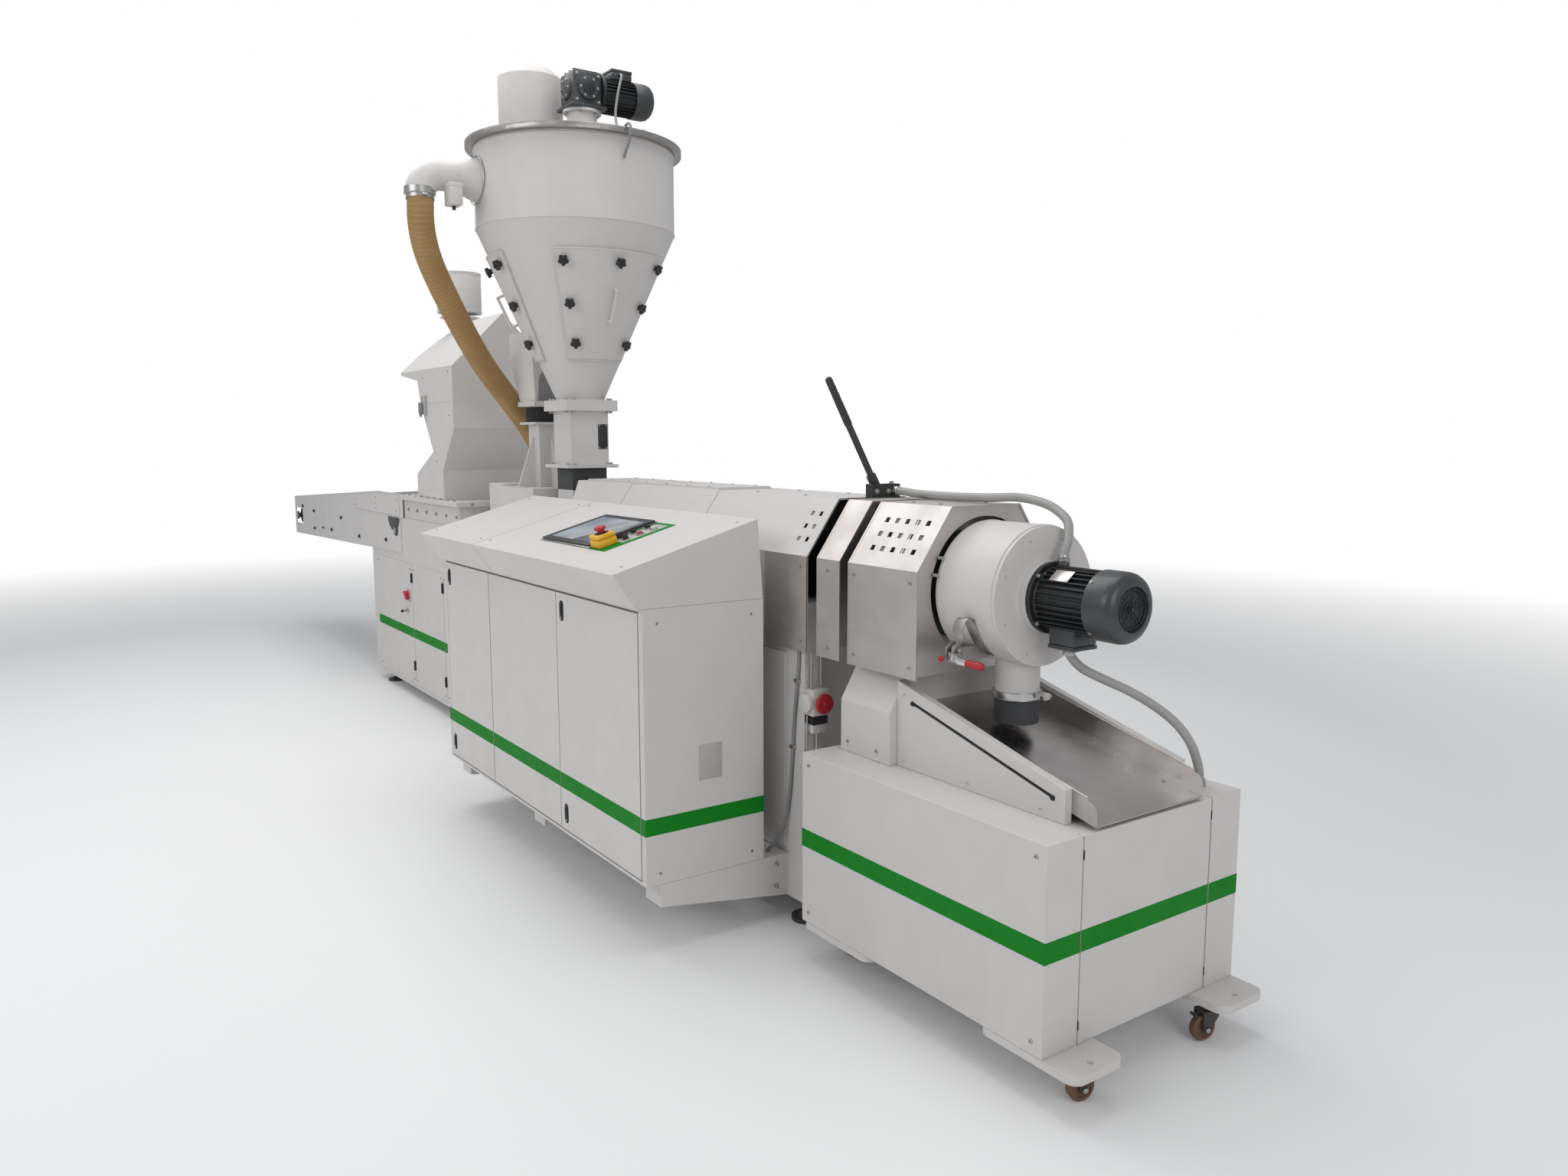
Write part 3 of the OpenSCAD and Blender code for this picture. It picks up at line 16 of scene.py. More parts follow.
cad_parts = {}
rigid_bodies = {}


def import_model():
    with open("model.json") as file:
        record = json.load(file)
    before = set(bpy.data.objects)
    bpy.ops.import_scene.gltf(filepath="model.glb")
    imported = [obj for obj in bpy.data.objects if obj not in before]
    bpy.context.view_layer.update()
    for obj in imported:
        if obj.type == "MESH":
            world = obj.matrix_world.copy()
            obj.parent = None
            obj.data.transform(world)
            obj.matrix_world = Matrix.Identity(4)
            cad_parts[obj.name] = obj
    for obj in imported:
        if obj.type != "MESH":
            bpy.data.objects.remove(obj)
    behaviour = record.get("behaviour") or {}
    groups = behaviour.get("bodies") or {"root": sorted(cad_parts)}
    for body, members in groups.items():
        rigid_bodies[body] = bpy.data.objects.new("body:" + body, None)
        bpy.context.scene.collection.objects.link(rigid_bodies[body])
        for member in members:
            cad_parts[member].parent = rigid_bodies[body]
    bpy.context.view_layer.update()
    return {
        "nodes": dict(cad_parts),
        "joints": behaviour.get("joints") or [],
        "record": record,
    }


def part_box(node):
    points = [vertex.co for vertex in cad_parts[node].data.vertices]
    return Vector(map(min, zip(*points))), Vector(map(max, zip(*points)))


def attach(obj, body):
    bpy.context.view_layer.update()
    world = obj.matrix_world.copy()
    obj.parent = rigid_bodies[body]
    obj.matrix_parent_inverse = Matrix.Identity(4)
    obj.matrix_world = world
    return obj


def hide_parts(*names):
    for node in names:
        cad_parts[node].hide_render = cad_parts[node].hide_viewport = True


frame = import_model()

bl_info = {
    "name": "Pelletizing Machine",
    "version": (1, 0, 0),
    "blender": (4, 5, 0),
    "location": "View3D > Sidebar > Pelletizer",
    "description": "Finishes, fittings, cords, camera and light of a plastic pelletizing machine",
    "category": "Object",
}

NODES = frame["nodes"]
LINE = Vector((4.247, 0.195, 0.0))
AXIS_H = 1.209
SIDES = (-1, 1)
X, Y, Z = Vector((1, 0, 0)), Vector((0, 1, 0)), Vector((0, 0, 1))


# VALUES


class CameraValues(bpy.types.PropertyGroup):
    """Where the picture is taken from"""

    position: FloatVectorProperty(
        name="Position", description="Place of the camera in the row frame",
        default=(6.015, -2.205, 1.65), size=3, subtype="TRANSLATION", unit="LENGTH",
    )
    heading: FloatProperty(
        name="Heading", description="Turn of the view about the vertical, from +Y",
        default=math.radians(55.1), subtype="ANGLE", unit="ROTATION",
    )
    pitch: FloatProperty(
        name="Pitch", description="How far the view looks down",
        default=math.radians(7.56), subtype="ANGLE", unit="ROTATION",
    )
    lens: FloatProperty(
        name="Lens", description="Focal length on a 36 mm wide sensor",
        default=25.84, min=10, max=100, unit="CAMERA",
    )


class LightValues(bpy.types.PropertyGroup):
    """Studio light"""

    key: FloatProperty(name="Key", description="Power of the front light in watts", default=92, min=0)
    end: FloatProperty(name="End", description="Power of the light on the chute end in watts", default=54, min=0)
    top: FloatProperty(name="Top", description="Power of the light over the line in watts", default=136, min=0)
    back: FloatProperty(name="Back", description="Power of the light behind the line in watts", default=88, min=0)
    sky: FloatProperty(name="Sky", description="Strength of the light from all round", default=0.46, min=0)
    floor: FloatVectorProperty(
        name="Floor", description="Colour of the floor", default=(0.86, 0.86, 0.86), size=3,
        subtype="COLOR", min=0, max=1,
    )


class PaintValues(bpy.types.PropertyGroup):
    """Powder coat"""

    white: FloatVectorProperty(
        name="White", description="Colour of the housings", default=(0.638, 0.618, 0.600), size=3,
        subtype="COLOR", min=0, max=1,
    )
    green: FloatVectorProperty(
        name="Green", description="Colour of the band", default=(0.001, 0.215, 0.010), size=3,
        subtype="COLOR", min=0, max=1,
    )
    gloss: FloatProperty(name="Roughness", description="Roughness of the coat", default=0.47, min=0.05, max=1)
    peel: FloatProperty(name="Peel", description="Depth of the coat's texture", default=0.05, min=0, max=1)
    dust: FloatProperty(name="Dust", description="Dust towards the floor", default=0.10, min=0, max=1)


class SteelValues(bpy.types.PropertyGroup):
    """Bare sheet steel"""

    colour: FloatVectorProperty(
        name="Colour", description="Colour of the sheet", default=(0.47, 0.45, 0.435), size=3,
        subtype="COLOR", min=0, max=1,
    )
    roughness: FloatProperty(name="Roughness", description="Roughness of the sheet", default=0.34, min=0.05, max=1)
    grain: FloatProperty(name="Grain", description="Depth of the brushing", default=0.12, min=0, max=1)


class FastenerValues(bpy.types.PropertyGroup):
    """Bolts and screws"""

    bolt: FloatProperty(
        name="Bolt", description="Width of a bolt head across flats", default=0.019, min=0.005, max=0.04,
        unit="LENGTH",
    )
    screw: FloatProperty(
        name="Screw", description="Diameter of a button screw head", default=0.012, min=0.004, max=0.03,
        unit="LENGTH",
    )


class HoseValues(bpy.types.PropertyGroup):
    """Suction hose and conduits"""

    pitch: FloatProperty(
        name="Pitch", description="Distance between the hose's spiral ribs", default=0.021, min=0.01, max=0.05,
        unit="LENGTH",
    )
    depth: FloatProperty(
        name="Depth", description="Depth of the hose's folds", default=0.0007, min=0, max=0.01, unit="LENGTH",
    )
    crinkle: FloatProperty(
        name="Crinkle", description="Distance between the conduit's rings", default=0.0065, min=0.003, max=0.02,
        unit="LENGTH",
    )


class MotorValues(bpy.types.PropertyGroup):
    """Cutter motor"""

    fins: IntProperty(name="Fins", description="Number of cooling fins", default=32, min=8, max=60)
    rings: IntProperty(name="Rings", description="Number of rings in the fan grille", default=4, min=1, max=8)


class MachineValues(bpy.types.PropertyGroup):
    """All values of the machine"""

    camera: PointerProperty(type=CameraValues, name="Camera", description="Camera")
    light: PointerProperty(type=LightValues, name="Light", description="Light")
    paint: PointerProperty(type=PaintValues, name="Paint", description="Paint")
    steel: PointerProperty(type=SteelValues, name="Steel", description="Steel")
    fasteners: PointerProperty(type=FastenerValues, name="Fasteners", description="Fasteners")
    hose: PointerProperty(type=HoseValues, name="Hose", description="Hose")
    motor: PointerProperty(type=MotorValues, name="Motor", description="Motor")


def values():
    return bpy.context.scene.pelletizer


# MESH TOOLS


def turned(axis):
    """Rotation that takes +Z to an axis."""
    return Z.rotation_difference(Vector(axis)).to_matrix().to_4x4()


def settle(bm, verts, slot, bevel=0.0, segments=2):
    """Gives new faces their slot and rounds their sharp edges."""
    faces = {f for v in verts for f in v.link_faces}
    for face in faces:
        face.material_index = slot
    if bevel > 0:
        edges = {e for f in faces for e in f.edges if e.calc_face_angle(0) > 0.5}
        bmesh.ops.bevel(
            bm, geom=list(edges), offset=bevel, segments=segments, profile=0.5,
            affect="EDGES", clamp_overlap=True, material=-1,
        )


def box(bm, low, high, bevel=0.0, slot=0, at=None):
    """A box between two corners, in its own frame if one is given."""
    low, high = Vector(low), Vector(high)
    grid = Matrix.Translation((low + high) / 2) @ Matrix.Diagonal((*(high - low), 1))
    made = bmesh.ops.create_cube(bm, size=1.0, matrix=at @ grid if at else grid)
    settle(bm, made["verts"], slot, bevel)


def rod(bm, start, end, radius, tip=None, sides=32, bevel=0.0, slot=0, at=None):
    """A round bar, or a cone if the tip's radius differs."""
    start, end = Vector(start), Vector(end)
    grid = Matrix.Translation((start + end) / 2) @ turned(end - start)
    made = bmesh.ops.create_cone(
        bm, cap_ends=True, segments=sides, radius1=radius, radius2=radius if tip is None else tip,
        depth=(end - start).length, matrix=at @ grid if at else grid,
    )
    settle(bm, made["verts"], slot, bevel)


def ball(bm, centre, radius, slot=0, stretch=(1, 1, 1)):
    """A sphere, or an ellipsoid if stretched."""
    grid = Matrix.Translation(Vector(centre)) @ Matrix.Diagonal((*stretch, 1))
    made = bmesh.ops.create_uvsphere(bm, u_segments=24, v_segments=14, radius=radius, matrix=grid)
    settle(bm, made["verts"], slot)


def plate(bm, outline, low, high, along="z", bevel=0.0, slot=0, at=None):
    """A flat outline given thickness along an axis."""
    order = {"x": lambda a, b, c: (c, a, b), "y": lambda a, b, c: (a, c, b), "z": lambda a, b, c: (a, b, c)}[along]
    face = bm.faces.new([bm.verts.new(order(a, b, low)) for a, b in outline])
    grown = bmesh.ops.extrude_face_region(bm, geom=[face])
    top = [g for g in grown["geom"] if isinstance(g, bmesh.types.BMVert)]
    bmesh.ops.translate(bm, verts=top, vec=Vector(order(0, 0, high - low)))
    verts = list({v for t in top for f in t.link_faces for v in f.verts})
    if at:
        bmesh.ops.transform(bm, matrix=at, verts=verts)
    settle(bm, verts, slot, bevel)


def join(bm, part, grid):
    """Adds a loose part to a piece."""
    part.transform(grid)
    bmesh.ops.recalc_face_normals(part, faces=part.faces)
    spare = bpy.data.meshes.new("spare")
    part.to_mesh(spare)
    part.free()
    bm.from_mesh(spare)
    bpy.data.meshes.remove(spare)


def lathe(bm, profile, origin, axis, sides=64, slot=0):
    """A turned part: pairs of radius and height, spun about an axis."""
    part = bmesh.new()
    verts = [part.verts.new((r, 0, h)) for r, h in profile]
    edges = [part.edges.new(pair) for pair in zip(verts, verts[1:])]
    bmesh.ops.spin(
        part, geom=verts + edges, cent=(0, 0, 0), axis=(0, 0, 1), angle=math.tau, steps=sides,
        use_merge=True, use_normal_flip=False, use_duplicate=False,
    )
    bmesh.ops.remove_doubles(part, verts=part.verts, dist=1e-6)
    for face in part.faces:
        face.material_index = slot
    join(bm, part, Matrix.Translation(Vector(origin)) @ turned(axis))


def ring(bm, origin, axis, radius, thickness, sides=64, slot=0):
    """A round wire bent to a ring."""
    turns = [math.tau * k / 10 for k in range(11)]
    profile = [(radius + thickness * math.cos(a), thickness * math.sin(a)) for a in turns]
    lathe(bm, profile, origin, axis, sides, slot)


def bolt(bm, at, normal, size=None, slot=0):
    """Hexagon bolt head on its washer."""
    size = size or values().fasteners.bolt
    at, normal = Vector(at), Vector(normal).normalized()
    washer = at + normal * size * 0.14
    rod(bm, at, washer, size * 0.68, sides=20, slot=slot)
    rod(bm, washer, washer + normal * size * 0.5, size * 0.577, sides=6, bevel=size * 0.05, slot=slot)


def screw(bm, at, normal, size=None, slot=0, socket=1):
    """Button head screw with a dark hexagon socket."""
    size = size or values().fasteners.screw
    at, normal = Vector(at), Vector(normal).normalized()
    top = at + normal * size * 0.3
    rod(bm, at, top, size / 2, sides=20, bevel=size * 0.14, slot=slot)
    rod(bm, top - normal * size * 0.1, top + normal * 0.0002, size * 0.2, sides=6, slot=socket)


def smooth_path(points, spacing):
    """Evenly spaced points on a smooth curve through the given ones."""
    points = [Vector(p) for p in points]
    fine = []
    for i in range(len(points) - 1):
        a, b = points[max(i - 1, 0)], points[i]
        c, d = points[i + 1], points[min(i + 2, len(points) - 1)]
        for k in range(24):
            t = k / 24
            fine.append(0.5 * (2 * b + (c - a) * t + (2 * a - 5 * b + 4 * c - d) * t**2
                               + (3 * b - a - 3 * c + d) * t**3))
    fine.append(points[-1])
    total = sum((q - p).length for p, q in zip(fine, fine[1:]))
    count = max(2, round(total / spacing))
    path, done, goal = [fine[0]], 0.0, total / count
    for p, q in zip(fine, fine[1:]):
        step = (q - p).length
        while step > 0 and done + step >= goal * len(path) - 1e-9 and len(path) < count:
            path.append(p.lerp(q, (goal * len(path) - done) / step))
        done += step
    path.append(fine[-1])
    return path


def sweep(bm, path, radius_at, sides, slot_at=lambda i: 0):
    """A closed tube along a path; the radius may change along it and round it."""
    rings = []
    side = None
    for i, point in enumerate(path):
        ahead = (path[min(i + 1, len(path) - 1)] - path[max(i - 1, 0)]).normalized()
        if side is None:
            side = ahead.cross(X if abs(ahead.z) > 0.9 else Z).normalized()
        side = (side - ahead * side.dot(ahead)).normalized()
        up = ahead.cross(side)
        rings.append([
            bm.verts.new(point + radius_at(i, k) * (
                math.cos(math.tau * k / sides) * side + math.sin(math.tau * k / sides) * up))
            for k in range(sides)
        ])
    for i, (one, two) in enumerate(zip(rings, rings[1:])):
        for k in range(sides):
            n = (k + 1) % sides
            bm.faces.new((one[k], one[n], two[n], two[k])).material_index = slot_at(i)
    bm.faces.new(rings[0][::-1])
    bm.faces.new(rings[-1])


def finished(name, bm, finishes, body="line", angle=35.0):
    """Turns a bmesh drawn along the line into an object in the row frame that moves with a body."""
    bmesh.ops.recalc_face_normals(bm, faces=bm.faces)
    bmesh.ops.translate(bm, verts=bm.verts, vec=LINE)
    mesh = bpy.data.meshes.new(name)
    bm.to_mesh(mesh)
    bm.free()
    mesh.shade_smooth()
    mesh.set_sharp_from_angle(angle=math.radians(angle))
    for finish in finishes:
        mesh.materials.append(bpy.data.materials[finish])
    obj = bpy.data.objects.new(name, mesh)
    bpy.context.scene.collection.objects.link(obj)
    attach(obj, body)
    return obj


# FINISHES


class Tree:
    """Adds nodes to a node tree, feeding each input a value or another node's output."""

    def __init__(self, tree):
        self.tree = tree

    def feed(self, socket, value):
        if isinstance(value, bpy.types.NodeSocket):
            self.tree.links.new(value, socket)
        elif isinstance(value, tuple) and len(value) == 3 and len(socket.default_value) == 4:
            socket.default_value = (*value, 1.0)
        else:
            socket.default_value = value

    def add(self, kind, settings=None, **inputs):
        node = self.tree.nodes.new(kind)
        for key, value in (settings or {}).items():
            setattr(node, key, value)
        for key, value in inputs.items():
            self.feed(node.inputs[key.replace("_", " ")], value)
        return node

    def place(self):
        return self.add("ShaderNodeTexCoord").outputs["Object"]

    def scaled(self, vector, scale):
        return self.add("ShaderNodeMapping", Vector=vector, Scale=scale).outputs["Vector"]

    def noise(self, vector, scale, detail=3.0, roughness=0.5):
        return self.add("ShaderNodeTexNoise", Vector=vector, Scale=scale, Detail=detail,
                        Roughness=roughness).outputs["Fac"]

    def span(self, value, low, high, to_low=0.0, to_high=1.0):
        node = self.add("ShaderNodeMapRange", {"clamp": True}, Value=value)
        for key, number in zip(("From Min", "From Max", "To Min", "To Max"), (low, high, to_low, to_high)):
            node.inputs[key].default_value = number
        return node.outputs["Result"]

    def math(self, operation, a, b):
        node = self.tree.nodes.new("ShaderNodeMath")
        node.operation = operation
        self.feed(node.inputs[0], a)
        self.feed(node.inputs[1], b)
        return node.outputs["Value"]

    def mix(self, factor, a, b):
        node = self.tree.nodes.new("ShaderNodeMix")
        node.data_type = "RGBA"
        self.feed(node.inputs[0], factor)
        self.feed(node.inputs[6], a)
        self.feed(node.inputs[7], b)
        return node.outputs[2]

    def bump(self, height, strength, distance):
        return self.add("ShaderNodeBump", Height=height, Strength=strength, Distance=distance).outputs["Normal"]


def wear_group():
    """Dust that gathers towards the floor, hand smudges and fine grain, all from object coordinates."""
    group = bpy.data.node_groups.new("Wear", "ShaderNodeTree")
    group.interface.new_socket("Size", in_out="INPUT", socket_type="NodeSocketFloat")
    for name in ("Dust", "Smudge", "Grain"):
        group.interface.new_socket(name, in_out="OUTPUT", socket_type="NodeSocketFloat")
    t = Tree(group)
    size = t.add("NodeGroupInput").outputs["Size"]
    place = t.place()
    height = t.add("ShaderNodeSeparateXYZ", Vector=place).outputs["Z"]
    low = t.span(height, 0.05, 0.75, 1.0, 0.12)
    patches = t.span(t.noise(place, 3.1, 6.0, 0.6), 0.42, 0.72)
    streaks = t.span(t.noise(t.scaled(place, (14, 14, 1.3)), 1.0, 4.0, 0.6), 0.45, 0.8)
    dust = t.math("MULTIPLY", low, t.math("MAXIMUM", patches, streaks))
    smudge = t.span(t.noise(place, t.math("MULTIPLY", size, 7.0), 5.0, 0.65), 0.4, 0.68)
    grain = t.noise(place, t.math("MULTIPLY", size, 620.0), 2.0, 0.5)
    out = t.add("NodeGroupOutput")
    for name, value in (("Dust", dust), ("Smudge", smudge), ("Grain", grain)):
        t.feed(out.inputs[name], value)
    return group


def new_finish(name):
    """A fresh shader with the wear masks, in the frame's own material where it has one by that name."""
    material = bpy.data.materials.get(name) or bpy.data.materials.new(name)
    material.use_nodes = True
    material.node_tree.nodes.clear()
    t = Tree(material.node_tree)
    shader = t.add("ShaderNodeBsdfPrincipled")
    t.tree.links.new(shader.outputs["BSDF"], t.add("ShaderNodeOutputMaterial").inputs["Surface"])
    wear = t.add("ShaderNodeGroup", {"node_tree": bpy.data.node_groups["Wear"]}, Size=1.0)
    return t, shader, wear.outputs


def shade(t, shader, **inputs):
    for key, value in inputs.items():
        t.feed(shader.inputs[key.replace("_", " ")], value)


def coat(name, colour, roughness, peel, dust, dirt=(0.30, 0.27, 0.23), metallic=0.0, clear=0.0, shine=0.5):
    """Paint: dust low down, smudges in the gloss and a fine orange peel."""
    t, shader, wear = new_finish(name)
    tone = tuple(c * 0.97 for c in colour)
    clean = t.mix(wear["Smudge"], colour, tone)
    cover = t.math("MULTIPLY", wear["Dust"], dust)
    waves = t.noise(t.place(), 1.7, 1.0)
    height = t.math("ADD", t.math("MULTIPLY", wear["Grain"], 0.02), t.math("MULTIPLY", waves, 1.0))
    shade(t, shader, Base_Color=t.mix(cover, clean, dirt),
          Roughness=t.span(wear["Smudge"], 0.0, 1.0, roughness, roughness + 0.1),
          Metallic=metallic, Coat_Weight=clear, Coat_Roughness=0.12, Specular_IOR_Level=shine,
          Normal=t.bump(height, peel, 0.02))


def brushed(name, colour, roughness, grain, stretch, stain=0.25, metallic=1.0):
    """Bare sheet steel with its grain drawn out along one axis, smears and faint stains."""
    t, shader, wear = new_finish(name)
    lines = t.noise(t.scaled(t.place(), stretch), 1.0, 4.0, 0.7)
    broad = t.span(t.noise(t.place(), 4.3, 3.0), 0.35, 0.7)
    tone = t.mix(lines, tuple(c * 0.82 for c in colour), colour)
    dull = t.mix(t.math("MULTIPLY", broad, stain), tone, tuple(c * 0.62 for c in colour))
    rough = t.math("ADD", t.span(lines, 0.2, 0.8, roughness - 0.06, roughness + 0.08),
                   t.span(wear["Smudge"], 0.0, 1.0, 0.0, 0.14))
    shade(t, shader, Base_Color=dull, Metallic=metallic, Roughness=rough, Normal=t.bump(lines, grain, 0.001))


def moulded(name, colour, roughness, texture=0.06, scale=1.0, lift=0.0):
    """Plastic or rubber with a faint moulded texture and dusty patches."""
    t, shader, wear = new_finish(name)
    pale = tuple(min(1.0, c * 1.25 + 0.02 + lift) for c in colour)
    shade(t, shader, Base_Color=t.mix(t.math("MULTIPLY", wear["Smudge"], 0.5), colour, pale),
          Roughness=t.span(wear["Smudge"], 0.0, 1.0, roughness, min(1.0, roughness + 0.12)),
          Normal=t.bump(t.noise(t.place(), 900.0 * scale, 2.0), texture, 0.001))


def screen_finish(name):
    """Glass of the touch screen, lit grey-blue and a little lighter to one corner."""
    t, shader, wear = new_finish(name)
    spot = t.add("ShaderNodeSeparateXYZ", Vector=t.place()).outputs
    across = t.span(spot["X"], 2.11, 2.50)
    cloud = t.span(t.noise(t.place(), 9.0, 2.0), 0.35, 0.65)
    glow = t.mix(t.math("MULTIPLY", t.math("ADD", across, cloud), 0.5), (0.10, 0.13, 0.17), (0.34, 0.40, 0.47))
    shade(t, shader, Base_Color=glow, Emission_Color=glow, Emission_Strength=0.35, Roughness=0.16,
          Coat_Weight=1.0, Coat_Roughness=0.04,
          Normal=t.bump(wear["Grain"], 0.01, 0.001))


class PELLETIZER_OT_finishes(bpy.types.Operator):
    """Builds every finish and gives each frame node its own"""

    bl_idname = "pelletizer.finishes"
    bl_label = "Finishes"

    def execute(self, context):
        v = values()
        paint, steel = v.paint, v.steel
        white = tuple(paint.white)
        bare = tuple(steel.colour)
        wear_group()
        coat("white_paint", white, paint.gloss, paint.peel, paint.dust)
        coat("grey_paint", tuple(c * 0.72 for c in white), paint.gloss, paint.peel, paint.dust)
        coat("green_band", tuple(paint.green), 0.58, 0.02, 0.02, shine=0.2)
        coat("motor_grey", (0.046, 0.050, 0.053), 0.32, 0.10, 0.0, clear=0.1)
        coat("lever_grey", (0.032, 0.030, 0.029), 0.40, 0.08, 0.1)
        coat("fin_black", (0.016, 0.018, 0.020), 0.38, 0.15, 0.0)
        coat("black_metal", (0.018, 0.018, 0.020), 0.42, 0.08, 0.35)
        coat("cast_grey", (0.05, 0.052, 0.054), 0.5, 0.3, 0.1)
        brushed("brushed_sheet", bare, steel.roughness, steel.grain, (3, 3, 420))
        brushed("guard_sheet", (0.70, 0.650, 0.628), steel.roughness + 0.08, steel.grain, (3, 420, 420), 0.2)
        brushed("tray_sheet", (0.66, 0.625, 0.600), 0.27, 0.10, (6, 240, 240), 0.35)
        brushed("zinc", (0.52, 0.52, 0.50), 0.30, 0.06, (90, 90, 90), 0.15)
        brushed("chrome", (0.72, 0.72, 0.72), 0.14, 0.02, (60, 60, 60), 0.1)
        moulded("black_rubber", (0.012, 0.012, 0.012), 0.72, 0.25)
        moulded("dark_rubber", (0.050, 0.052, 0.056), 0.62, 0.2)
        moulded("belt_dark", (0.018, 0.019, 0.022), 0.66, 0.35, 0.4)
        moulded("black_plastic", (0.014, 0.014, 0.015), 0.38, 0.1)
        moulded("panel_black", (0.016, 0.017, 0.019), 0.34, 0.08)
        moulded("caster_tread", (0.150, 0.070, 0.040), 0.5, 0.12)
        moulded("stop_yellow", (0.80, 0.42, 0.012), 0.35, 0.05)
        moulded("grip_red", (0.44, 0.012, 0.024), 0.33, 0.05)
        moulded("cap_blue", (0.05, 0.22, 0.62), 0.4, 0.05)
        moulded("conduit_steel", (0.34, 0.34, 0.325), 0.30, 0.15)
        moulded("cable_grey", (0.22, 0.22, 0.22), 0.5, 0.1)
        moulded("hose_tan", (0.410, 0.244, 0.092), 0.56, 0.14, 0.5)
        # Darker tan for the valleys of the hose's folds: painted shade in the creases.
        moulded("hose_fold", (0.345, 0.202, 0.074), 0.58, 0.14, 0.5)
        screen_finish("display")
        slots = {s["node"]: s["material_slot"] for s in frame["record"]["subparts"]}
        special = {
            "die_guard": "guard_sheet", "middle_guard": "guard_sheet", "chute_tray": "tray_sheet",
            "drum_cover": "white_paint", "throat_duct": "white_paint", "lever": "lever_grey", "outlet_clamp": "chrome",
        }
        for node, obj in NODES.items():
            obj.data.materials.clear()
            obj.data.materials.append(bpy.data.materials[special.get(node, slots[node])])
        return {"FINISHED"}


ROUNDED = {
    "trolley_body": 0.003, "trolley_end_panel": 0.003, "stabiliser_plates": 0.002, "chute_cheeks": 0.002,
    "chute_drive_cover": 0.003, "cabinet_shell": 0.002, "console_top": 0.003, "cabinet_door_left": 0.0015,
    "cabinet_door_middle": 0.0015, "cabinet_door_right": 0.0015, "main_frame": 0.004, "extruder_base": 0.003,
    "extruder_drive": 0.006, "shredder_base": 0.004, "base_panels": 0.0015, "shredder_deck": 0.003,
    "shredder_hood": 0.004, "feed_pedestal": 0.0015, "side_hopper": 0.003, "lever": 0.002,
    "levelling_feet": 0.002, "filter_can": 0.006, "vent_can": 0.004, "hopper_lid": 0.003,
}


class PELLETIZER_OT_edges(bpy.types.Operator):
    """Breaks the sharp edges of the folded housings so that they catch the light"""

    bl_idname = "pelletizer.edges"
    bl_label = "Edges"

    def execute(self, context):
        for node, width in ROUNDED.items():
            weld = NODES[node].modifiers.new("Weld", "WELD")
            weld.merge_threshold = 1e-5
            bevel = NODES[node].modifiers.new("Edge", "BEVEL")
            bevel.width = width
            bevel.segments = 2
            bevel.limit_method = "ANGLE"
            bevel.angle_limit = math.radians(38)
            bevel.harden_normals = True
        return {"FINISHED"}


# CORDS

HOSE = [
    (-3.487, -0.735, 2.740), (-3.487, -0.735, 2.700), (-3.512, -0.728, 2.632), (-3.562, -0.702, 2.555),
    (-3.618, -0.658, 2.470), (-3.692, -0.582, 2.360), (-3.772, -0.490, 2.240), (-3.855, -0.392, 2.120),
    (-3.940, -0.285, 2.005), (-4.022, -0.172, 1.900), (-4.082, -0.065, 1.795), (-4.112, 0.020, 1.690),
    (-4.122, 0.078, 1.590), (-4.126, 0.108, 1.500), (-4.126, 0.108, 1.441),
]
CONDUIT_UPPER = [
    (-1.111, 0.060, 1.477), (-1.070, 0.060, 1.477), (-1.000, 0.061, 1.472), (-0.900, 0.060, 1.470),
    (-0.800, 0.062, 1.470), (-0.700, 0.064, 1.472), (-0.640, 0.066, 1.475), (-0.580, 0.070, 1.478),
    (-0.520, 0.076, 1.474), (-0.460, 0.078, 1.462), (-0.415, 0.077, 1.444), (-0.372, 0.068, 1.416),
    (-0.350, 0.046, 1.368), (-0.345, 0.024, 1.332), (-0.345, 0.024, 1.310),
]
CONDUIT_LOWER = [
    (-0.290, 0.000, 1.077), (-0.290, 0.000, 1.057), (-0.274, 0.034, 1.018), (-0.243, 0.090, 0.985),
    (-0.205, 0.150, 0.952), (-0.166, 0.210, 0.910), (-0.130, 0.262, 0.860), (-0.106, 0.300, 0.803),
    (-0.094, 0.322, 0.742), (-0.090, 0.328, 0.700), (-0.090, 0.328, 0.678),
]
AGITATOR_CABLE = [
    (-3.345, 0.200, 3.378), (-3.325, 0.200, 3.378), (-3.280, 0.180, 3.350), (-3.240, 0.140, 3.260),
    (-3.190, 0.100, 3.150), (-3.110, 0.070, 3.070), (-3.020, 0.050, 3.043), (-2.945, 0.036, 3.046),
    (-2.906, 0.028, 3.030), (-2.897, 0.024, 2.990), (-2.910, 0.022, 2.955), (-2.935, 0.020, 2.925),
    (-2.954, 0.020, 2.900),
]
POST_CABLE = [
    (-1.2130, -0.2595, 0.966), (-1.2140, -0.2595, 0.930), (-1.2170, -0.2598, 0.880), (-1.2280, -0.2600, 0.800),
    (-1.2400, -0.2602, 0.700), (-1.2500, -0.2604, 0.580), (-1.2620, -0.2620, 0.460), (-1.2850, -0.2680, 0.340),
    (-1.3150, -0.2850, 0.268), (-1.3340, -0.2990, 0.243), (-1.3400, -0.3030, 0.232),
]
HOSE_R = 0.0592
CONDUIT_R = 0.0134
CABLE_R = 0.006


